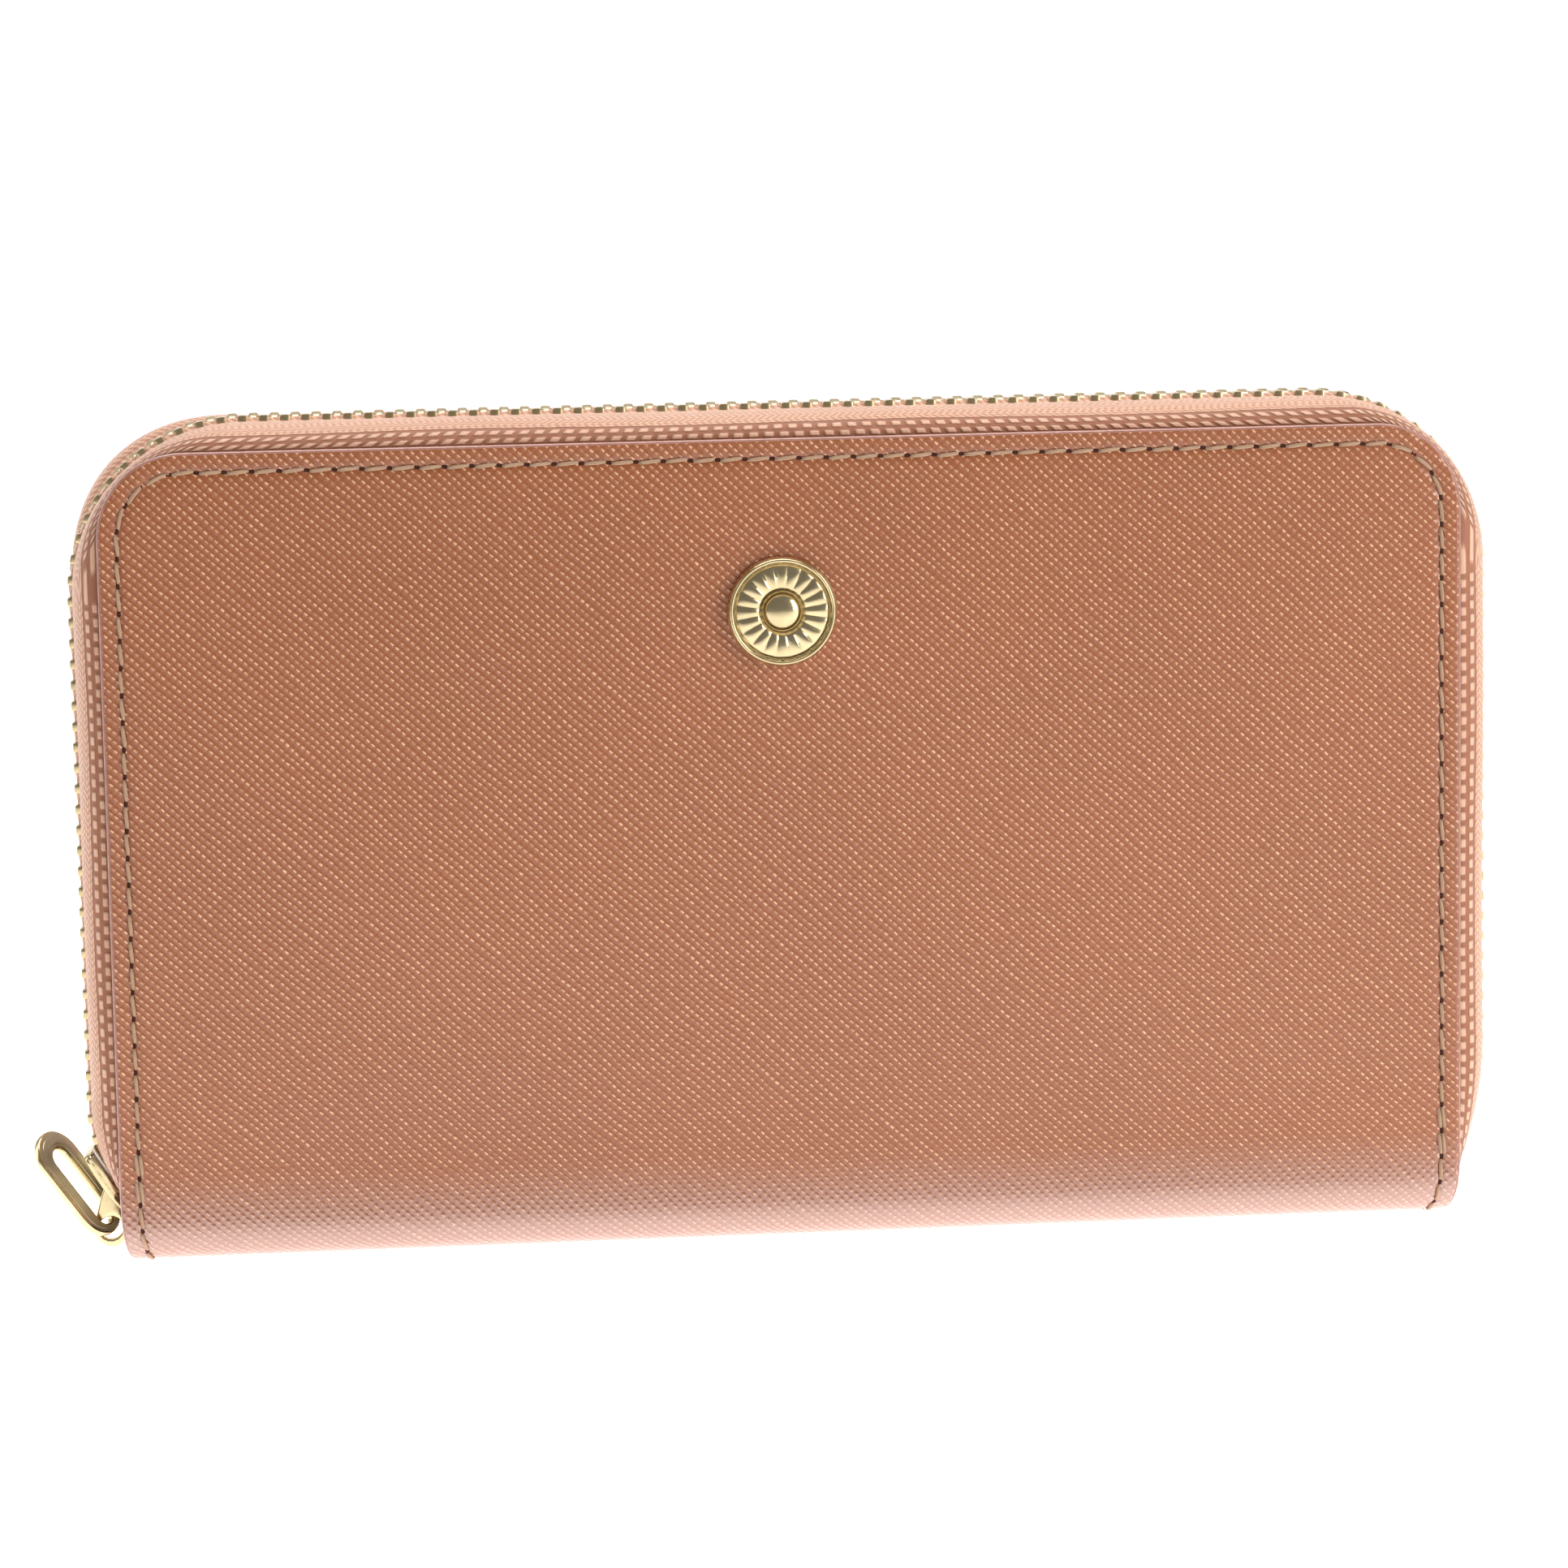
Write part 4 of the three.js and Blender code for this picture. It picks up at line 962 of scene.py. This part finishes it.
def slider():
    """Two plates on a neck, their lips and the strap loop; returns where the slider stands."""
    face = stood(plate(slider_outline(0, 2.6), PLATE * MM, 0.28 * MM))
    raised = stood(plate(slider_outline(1.3, 1.9), 0.5 * MM, 0.15 * MM))
    neck_half, lip_half, lip_thick = (OUTER_GAP + INNER_GAP) / 2 + 0.3, HALF_LENGTH - 1.7, 0.33
    neck = rounded_box(neck_half * MM, 0.26 * MM, 0.9 * MM, 0.12 * MM)
    outer_lip = rounded_box(0.5 * MM, lip_thick * MM, lip_half * MM, 0.14 * MM)
    inner_lip = rounded_box(0.75 * MM, lip_thick * MM, (lip_half - 0.5) * MM, 0.14 * MM)
    strap = plate(bail_outline(), 1.6 * MM, 0.25 * MM)
    parts = [
        shifted(face, x=-(OUTER_GAP + PLATE / 2)),
        shifted(face, x=INNER_GAP + PLATE / 2),
        shifted(raised, x=-(OUTER_GAP + PLATE)),
        shifted(neck, x=(INNER_GAP - OUTER_GAP) / 2, z=1.25 - HALF_LENGTH),
    ]
    for y in (lip_thick - HALF_BREADTH, HALF_BREADTH - lip_thick):
        parts.append(shifted(outer_lip, x=-(OUTER_GAP + 0.2), y=y, z=1.3))
        parts.append(shifted(inner_lip, x=INNER_GAP + 0.05, y=y, z=0.8))
    parts.append(moved(strap, Matrix.Rotation(math.pi / 2, 4, "X")))
    x, z = end_station(LEFT, SLIDER_TILT)[:2]
    place = Matrix.Translation((x, 0, z)) @ Matrix.Rotation(-SLIDER_TILT, 4, "Y")
    riding("slider", moved(joined(parts), place), pale_gold, CRISP, "slider", "gold", "slider_body")
    return place


def two_tone(obj, axis):
    """The flat faces across an axis take the second finish, the rounded rims keep the first."""
    for polygon in obj.data.polygons:
        if abs(polygon.normal @ axis) > 0.97:
            polygon.material_index = 1


def oval(radius, low, high, count, way):
    """Half circles about low and high on the Y axis, anticlockwise where way is 1, else clockwise."""
    lower = arc(0, low, radius, 270 - 90 * way, 270 + 90 * way, count)
    return lower + arc(0, high, radius, 90 - 90 * way, 90 + 90 * way, count)


def puller(slider_place):
    """An oval ring with a plain inlay on each face, hung in the slider's eye."""
    hole = PULLER_HALF - PULLER_BAND
    low, hole_low = PULLER_HALF - PULLER_BAR, hole + PULLER_BAR
    high = PULLER_LENGTH - PULLER_BAR - PULLER_HALF
    lines = in_mm(oval(PULLER_HALF, low, high, 22, 1), oval(hole, hole_low, high, 16, -1))
    ring = stood(plate(lines, PULLER_THICK * MM, 0.32 * MM))
    lines = in_mm(oval(PULLER_HALF - 0.75, low, high, 22, 1), oval(hole + 0.7, hole_low, high, 16, -1))
    inlay = stood(plate(lines, (PULLER_THICK + 0.16) * MM, 0.06 * MM))
    pivot = slider_place @ Vector((PIVOT_X * MM, 0, PIVOT_Z * MM))
    turn = Matrix.Rotation(-PULLER_LEAN, 4, "Y") @ Matrix.Rotation(-PULLER_COCK, 4, "Z")
    placed = moved(joined([ring, inlay]), Matrix.Translation(pivot) @ turn)
    golds = [pale_gold, satin_gold]
    obj = riding("puller", placed, golds, CRISP, "puller", "gold", "puller_ring")
    two_tone(obj, turn @ Vector((1, 0, 0)))


# ---- the medallion on the front, in millimetres ----
def ridge_at(r, middle, width, height, power):
    return height * np.exp(-(((r - middle) / width) ** power))


def medallion_height(radius, turn):
    """Height of its face above its back at one radius: petals, rim, ring and dome."""
    r = np.full_like(turn, radius)
    base, petal_rise, petal_cut, petal_middle, petal_half = 0.75, 0.35, 0.22, 4.7, 1.7
    petals = petal_rise + petal_cut * np.abs(np.cos(10 * turn)) ** 0.7
    swell = np.clip(1 - ((r - petal_middle) / petal_half) ** 2, 0, 1) ** 0.5
    rim, ring = ridge_at(r, 6.95, 0.42, 1.5, 4), ridge_at(r, 2.65, 0.22, 1.3, 2)
    dome = 1.75 * np.sqrt(np.clip(1 - (r / 2.9) ** 2, 0, 1)) * (r < 2.35)
    return np.maximum.reduce([base + petals * swell, rim, ring, dome])


def medallion():
    low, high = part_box("emblem")
    radius = (high.x - low.x) / 2 / MM
    centre = np.array([(low.x + high.x) / 2, -HALF_DEPTH, (low.z + high.z) / 2])
    lift = 0.2 * MM
    turn = full_turn(160)
    dome, petals = np.linspace(0.15, 2.3, 9), np.linspace(2.4, 6.2, 26)
    rim = np.linspace(6.3, radius - 0.25, 10)
    profile = [(r, medallion_height(r, turn)) for r in (*dome, *petals, *rim)]
    profile += [(radius - 0.08, 0.95), (radius, 0.7), (radius, 0.1), (radius - 0.3, 0.0)]
    rings = [np.stack([r * np.cos(turn), -h + 0 * turn, r * np.sin(turn)], 1) for r, h in profile]
    points = np.array(rings) * MM + (centre - (0, lift, 0))
    flat = (points.reshape(-1, 3) - centre)[:, [0, 2]]
    shape = tube(points, flat)
    riding("medallion", shape, pale_gold, MEDALLION_CRISP, "front_half", "gold", "emblem")


# ---- linings, pockets and card slots ----
def panel(name, node, body, slot, corner, material, sway, notch=0.0):
    """A cloth or leather panel in place of a thin CAD slab, its edges rounded and its face uneven."""
    low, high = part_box(node)
    half, bottom, top = high.x, low.z, high.z
    middle, half_thick, height = (low.y + high.y) / 2, (high.y - low.y) / 2, (top - bottom) / MM
    rises = np.concatenate([PANEL_EDGE, np.linspace(1.5, height - 1.5, 34), height - PANEL_EDGE[::-1]]) * MM
    insets = np.concatenate([PANEL_EDGE, [1.6, 4], np.linspace(8, half / MM, 22)]) * MM
    rows = []
    for rise in rises[::-1]:
        width = float(row_half_width(bottom + rise, half, top, corner))
        line = (width / half) * (half - insets)
        rows.append(np.concatenate([-line, line[-2::-1]]))
    x = np.array(rows)
    z = np.repeat(bottom + rises[::-1, None], x.shape[1], 1)
    near_top = np.clip(((z - bottom) / (top - bottom) - 0.6) / 0.4, 0, 1)
    dip = notch * np.exp(-((x / (13 * MM)) ** 2)) * near_top
    edge = np.minimum.reduce([half - np.abs(x), top - z, z - bottom])
    taper = np.sqrt(np.clip(edge / (0.3 * MM), 0.04, 1))
    ripple = sway * np.sin(x / (11 * MM) + 0.7) * np.sin(z / (17 * MM) + 0.2)
    faces = [np.stack([x, middle + ripple + way * taper * half_thick, z - dip], -1) for way in (-1, 1)]
    return riding(name, skin(*faces, np.stack([x, z], -1)), material, None, body, slot, node)


def repaint(node, material):
    """A CAD node that stays in view takes a procedural material."""
    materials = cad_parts[node].data.materials
    materials.clear()
    materials.append(material)


def inner_panels():
    for label, side in SIDES:
        body, node = f"{label}_half", f"lining_{label}"
        lining = panel(f"lining_cloth_{label}", node, body, "lining", 10 * MM, tan_cloth, 0.05 * MM)
        node = f"slip_pocket_{label}"
        panel(f"slip_pocket_leather_{label}", node, body, "leather", 1 * MM, calf, 0.05 * MM)
        for i in (1, 2, 3):
            node = f"card_slot_{label}_{i}"
            panel(f"card_slot_leather_{label}_{i}", node, body, "leather", 1 * MM, calf, 0.03 * MM, 3 * MM)
        card_stitches(label, side, body)
        repaint(f"board_{label}", board)


def stitch_row(points, up):
    """Straight stitches along a line, each a small arched thread."""
    points, up = np.asarray(points, float), np.asarray(up, float)
    share = np.linspace(0.1, 0.9, 5)[:, None]
    lift = np.sin(np.linspace(0, math.pi, 5))[:, None] * CARD_THREAD * 0.5
    radii = CARD_THREAD * np.array([0.6, 0.95, 1, 0.95, 0.6])
    return joined([pipe(a + (b - a) * share + up * lift, radii, up, 6) for a, b in zip(points, points[1:])])


def card_stitches(label, side, body):
    """The seam that parts the card slots into two columns, and one down each side."""
    low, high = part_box(f"card_slot_{label}_3")
    face = -side * 0.2 * MM + (low.y if side == BACK else high.y)
    aside = high.x - 2.5 * MM
    heights = np.arange(low.z + 3 * MM, high.z - 5 * MM, 3 * MM)
    rows = [stitch_row([(x, face, z) for z in heights], (0, -side, 0)) for x in (0, -aside, aside)]
    riding(f"card_slot_stitches_{label}", joined(rows), beige_thread, None, body, "tape")


# ---- coin pocket ----
def coin_pocket():
    low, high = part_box("coin_wall_front")
    for label, side in SIDES:
        node = f"coin_wall_{label}"
        wall = panel(f"coin_pocket_{label}", node, "spine", "lining", 1 * MM, tan_cloth, 0.06 * MM)
        node = f"coin_tape_{label}"
        panel(f"{node}_cloth", node, "spine", "tape", 0.8 * MM, tape_weave, 0.02 * MM)
        coin_teeth(label, side)
    coin_band()
    for end_label, _ in ENDS:
        low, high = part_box(f"coin_stop_{end_label}")
        shape = rounded_box(*((high - low) / 2), 0.25 * MM)
        placed = moved(shape, Matrix.Translation((low + high) / 2))
        name, node = f"coin_zip_stop_{end_label}", f"coin_stop_{end_label}"
        riding(name, placed, pale_gold, CRISP, "spine", "gold", node)


def coin_band():
    """The strip that closes the pocket's two ends and floor, in one length."""
    _, end_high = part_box("coin_end_right")
    floor_low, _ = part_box("coin_floor")
    half, top, low = end_high.x, end_high.z, floor_low.z
    radius, bow, cloth = 2 * MM, 0.25 * MM, 0.4 * MM
    path = [(-half, z) for z in np.linspace(top, low + radius, 24)]
    path += arc(-half + radius, low + radius, radius, 180, 270, 7)[1:]
    path += [(x, low) for x in np.linspace(-half + radius, half - radius, 40)[1:]]
    path += arc(half - radius, low + radius, radius, 270, 360, 7)[1:]
    path += [(half, z) for z in np.linspace(low + radius, top, 24)[1:]]
    path = np.array(path)
    inward = left_of(path)
    ys = np.linspace(floor_low.y, -floor_low.y, 5)
    faces = []
    for depth in (0, cloth):
        shift = depth + bow * (1 - (ys / ys[-1]) ** 2)
        x, z = (path[:, i, None] + inward[:, i, None] * shift for i in (0, 1))
        faces.append(np.stack([x, np.broadcast_to(ys, x.shape), z], -1))
    shape = skin(*faces, grid_flat(run_along(path), ys))
    nodes = ["coin_floor", "coin_end_left", "coin_end_right"]
    riding("coin_pocket_band", shape, tan_cloth, None, "spine", "lining", *nodes)


def coin_teeth(label, side):
    low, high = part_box(f"coin_teeth_{label}")
    z = (low.z + high.z) / 2
    first = low.x + FIRST_COIN_TOOTH + (0 if side == FRONT else COIN_TOOTH_PITCH / 2)
    places = np.arange(first, high.x - LAST_COIN_TOOTH, COIN_TOOTH_PITCH)
    teeth = [tooth((x, z, 0, 1), side, COIN_TOOTH_RINGS) for x in places]
    name, node = f"coin_zip_teeth_{label}", f"coin_teeth_{label}"
    riding(name, joined(teeth), pale_gold, TOOTH_CRISP, "spine", "gold", node)


def coin_slider():
    """A plate above the chain, a foot below it, the post between them and the arch on top."""
    low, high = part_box("coin_slider")
    centre, half = (low.x + high.x) / 2, (high.x - low.x) / 2
    plate_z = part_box("coin_teeth_front")[1].z + 0.85 * MM
    foot_half, rise = 0.45 * MM, (high.z - plate_z) / MM
    shield = [(-3.6, -2), (-2.6, -3.1), (2.4, -3.1), (3.6, -1.6)]
    shield += [(x, -y) for x, y in shield[::-1]]
    loop = [(-2.7, 0), (2.7, 0), (2.6, rise * 0.7), (1.5, rise), (-1.5, rise), (-2.6, rise * 0.7)]
    eye = arc(0, rise * 0.45, 0.95, 0, 330, 12)
    cap = plate(in_mm(smoothed(shield)), 0.9 * MM, 0.2 * MM)
    foot = rounded_box(half, 1.6 * MM, foot_half, 0.2 * MM)
    post = rounded_box(0.9 * MM, 0.2 * MM, (plate_z - low.z) / 2 - 0.3 * MM, 0.08 * MM)
    arch = moved(plate(in_mm(smoothed(loop), eye), 1.2 * MM, 0.2 * MM), Matrix.Rotation(math.pi / 2, 4, "X"))
    places = (
        (cap, 0, plate_z), (foot, 0, low.z + foot_half), (post, 2.3 * MM, (plate_z + low.z) / 2),
        (arch, 0, plate_z),
    )
    parts = [moved(shape, Matrix.Translation((centre + x, 0, z))) for shape, x, z in places]
    riding("coin_zip_slider", joined(parts), pale_gold, CRISP, "coin_slider", "gold", "coin_slider")


def coin_puller():
    """A tapered tab with a slot for the slider's arch."""
    low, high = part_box("coin_puller")
    end = (high.x - low.x) / MM
    tab = [(0, -2.4), (end - 3, -2.0), (end, -1.6), (end, 1.6), (end - 3, 2.0), (0, 2.4)]
    slot = [(1.0, -1.2), (5.7, -1.2), (5.7, 1.2), (1.0, 1.2)]
    shape = plate(in_mm(smoothed(tab), smoothed(slot, 1)), 0.8 * MM, 0.2 * MM)
    placed = moved(shape, Matrix.Translation((low.x, 0, (low.z + high.z) / 2)))
    golds = [pale_gold, satin_gold]
    obj = riding("coin_zip_puller", placed, golds, CRISP, "coin_puller", "gold", "coin_puller")
    two_tone(obj, Vector((0, 0, 1)))


# ---- gussets and the spine's inside ----
def gusset(end_label, end, label, side):
    """One inward fold of cloth between a cover and the coin pocket."""
    name, node = f"gusset_cloth_{end_label}_{label}", f"gusset_{end_label}_{label}"
    low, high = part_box(node)
    fold, mouth = sorted((abs(low.x), abs(high.x)))
    far, near = sorted((abs(low.y), abs(high.y)))
    middle, half_cloth = (near + far) / 2, 0.15 * MM
    limb = [(mouth, near), (mouth - 2 * MM, near - 0.1 * MM), ((mouth + fold) / 2, (near + middle) / 2)]
    limb = np.array(limb + [(fold + 1.5 * MM, middle + 0.25 * MM), (fold, middle)])
    line = np.concatenate([limb, limb[-2::-1] * (1, -1) + (0, 2 * middle)])
    heights = np.linspace(low.z, high.z, 30)
    ripple = 0.12 * MM * np.sin(heights / (8 * MM) + end + side)
    faces = []
    for way in (-1, 1):
        p = line + left_of(line) * (way * half_cloth + ripple)[:, None, None]
        z = np.broadcast_to(heights[:, None], p.shape[:2])
        faces.append(np.stack([end * p[..., 0], side * p[..., 1], z], -1))
    steps = run_along(line)
    shape = skin(*faces, grid_flat(heights, steps))
    obj = bending(name, shape, tan_cloth, None, label, *(side * GUSSET_BEND), "lining", node)


def spine_inside():
    low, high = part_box("spine_lining")
    x, y = np.meshgrid(np.linspace(low.x, high.x, 60), np.linspace(low.y, high.y, 9), indexing="ij")
    sag = 0.06 * MM * np.sin(x / (14 * MM)) * np.cos(y / (5 * MM))
    faces = [np.stack([x, y, z + sag], -1) for z in (high.z, low.z)]
    shape = skin(*faces, np.stack([x, y], -1))
    obj = riding("spine_lining_cloth", shape, tan_cloth, None, "spine", "lining", "spine_lining")
    repaint("spine_board", board)
    repaint("emblem_plate", steel)


# ---- camera, floor and light ----
def camera():
    back = Vector((math.sin(YAW) * math.cos(PITCH), -math.cos(YAW) * math.cos(PITCH), math.sin(PITCH)))
    right = (-back).cross(Vector((0, 0, 1))).normalized()
    up = right.cross(-back)
    rolled_right = math.cos(ROLL) * right + math.sin(ROLL) * up
    rolled_up = math.cos(ROLL) * up - math.sin(ROLL) * right
    data = bpy.data.cameras.new("camera")
    data.lens, data.sensor_width = LENS, 36
    data.clip_start, data.clip_end = 0.01, 50
    obj = linked(bpy.data.objects.new("camera", data))
    turn = Matrix((rolled_right, rolled_up, back)).transposed().to_4x4()
    obj.matrix_world = Matrix.Translation(AIM + back * DISTANCE) @ turn
    bpy.context.scene.camera = obj


def white_stage(name, corners, glow, patch_glow):
    """A plain white surface that glows behind and beneath the object and fades out to the sides."""
    mesh = bpy.data.meshes.new(name)
    mesh.from_pydata(corners, [], [(0, 1, 2, 3)])
    f = Finish(name, Roughness=0.9, Base_Color=(0.9, 0.9, 0.9, 1), Emission_Color=(1, 1, 1, 1))
    place = f.place()
    x, y, z = (f.part(place, i) for i in range(3))
    aside = f.math("ABSOLUTE", x)
    middle = f.times(f.ramp(aside, *GLOW_ASIDE, 1.0, 0.35), f.ramp(z, *GLOW_UP, 1.0, 0.35))
    fading = f.times(f.ramp(y, *GLOW_BEFORE, 0.0, glow), middle)
    patch = f.times(f.ramp(y, *PATCH_START, 0.0, patch_glow), f.ramp(y, *PATCH_END, 1.0, 0.0))
    patch = f.times(patch, f.ramp(aside, *PATCH_ASIDE, 1.0, 0.0))
    f.feed(f.shader.inputs["Emission Strength"], f.plus(fading, patch))
    mesh.materials.append(f.material)
    linked(bpy.data.objects.new(name, mesh))


def stage():
    half, behind, height = 6.0, 3.0, 5.0
    z = cad_box[0].z - 0.3 * MM
    ground = [(-half, -half, z), (half, -half, z), (half, half, z), (-half, half, z)]
    wall = [(-half, behind, z), (half, behind, z), (half, behind, height), (-half, behind, height)]
    white_stage("floor", ground, 0.52, 1.15)
    white_stage("backdrop", wall, 0.9, 0.0)


def area_light(name, place, aim, size, power):
    data = bpy.data.lights.new(name, "AREA")
    data.shape = "RECTANGLE"
    data.size, data.size_y = size
    data.energy = power
    obj = linked(bpy.data.objects.new(name, data))
    place, aim = Vector(place), Vector(aim)
    turn = (aim - place).to_track_quat("-Z", "Y").to_matrix().to_4x4()
    obj.matrix_world = Matrix.Translation(place) @ turn


def lights():
    world = bpy.data.worlds.new("soft_white")
    world.use_nodes = True
    background = world.node_tree.nodes["Background"]
    background.inputs["Color"].default_value = (1, 1, 1, 1)
    background.inputs["Strength"].default_value = 0.28
    bpy.context.scene.world = world
    middle = (0, 0, 0.06)
    area_light("right", (0.75, -0.45, 0.35), middle, (0.4, 0.6), 6.2)
    area_light("left", (-0.8, 0.15, 0.3), middle, (0.5, 0.7), 2.4)
    area_light("top", (0.0, 0.1, 0.9), middle, (0.9, 0.5), 10.0)
    bpy.context.scene.view_settings.view_transform = "Standard"


camera()
stage()
lights()
leather_wraps()
painted_edges()
seam_stitches()
zip_tapes()
zip_teeth()
zip_end_box()
puller(slider())
medallion()
inner_panels()
coin_pocket()
coin_slider()
coin_puller()
for end_label, end in ENDS:
    for label, side in SIDES:
        gusset(end_label, end, label, side)
spine_inside()
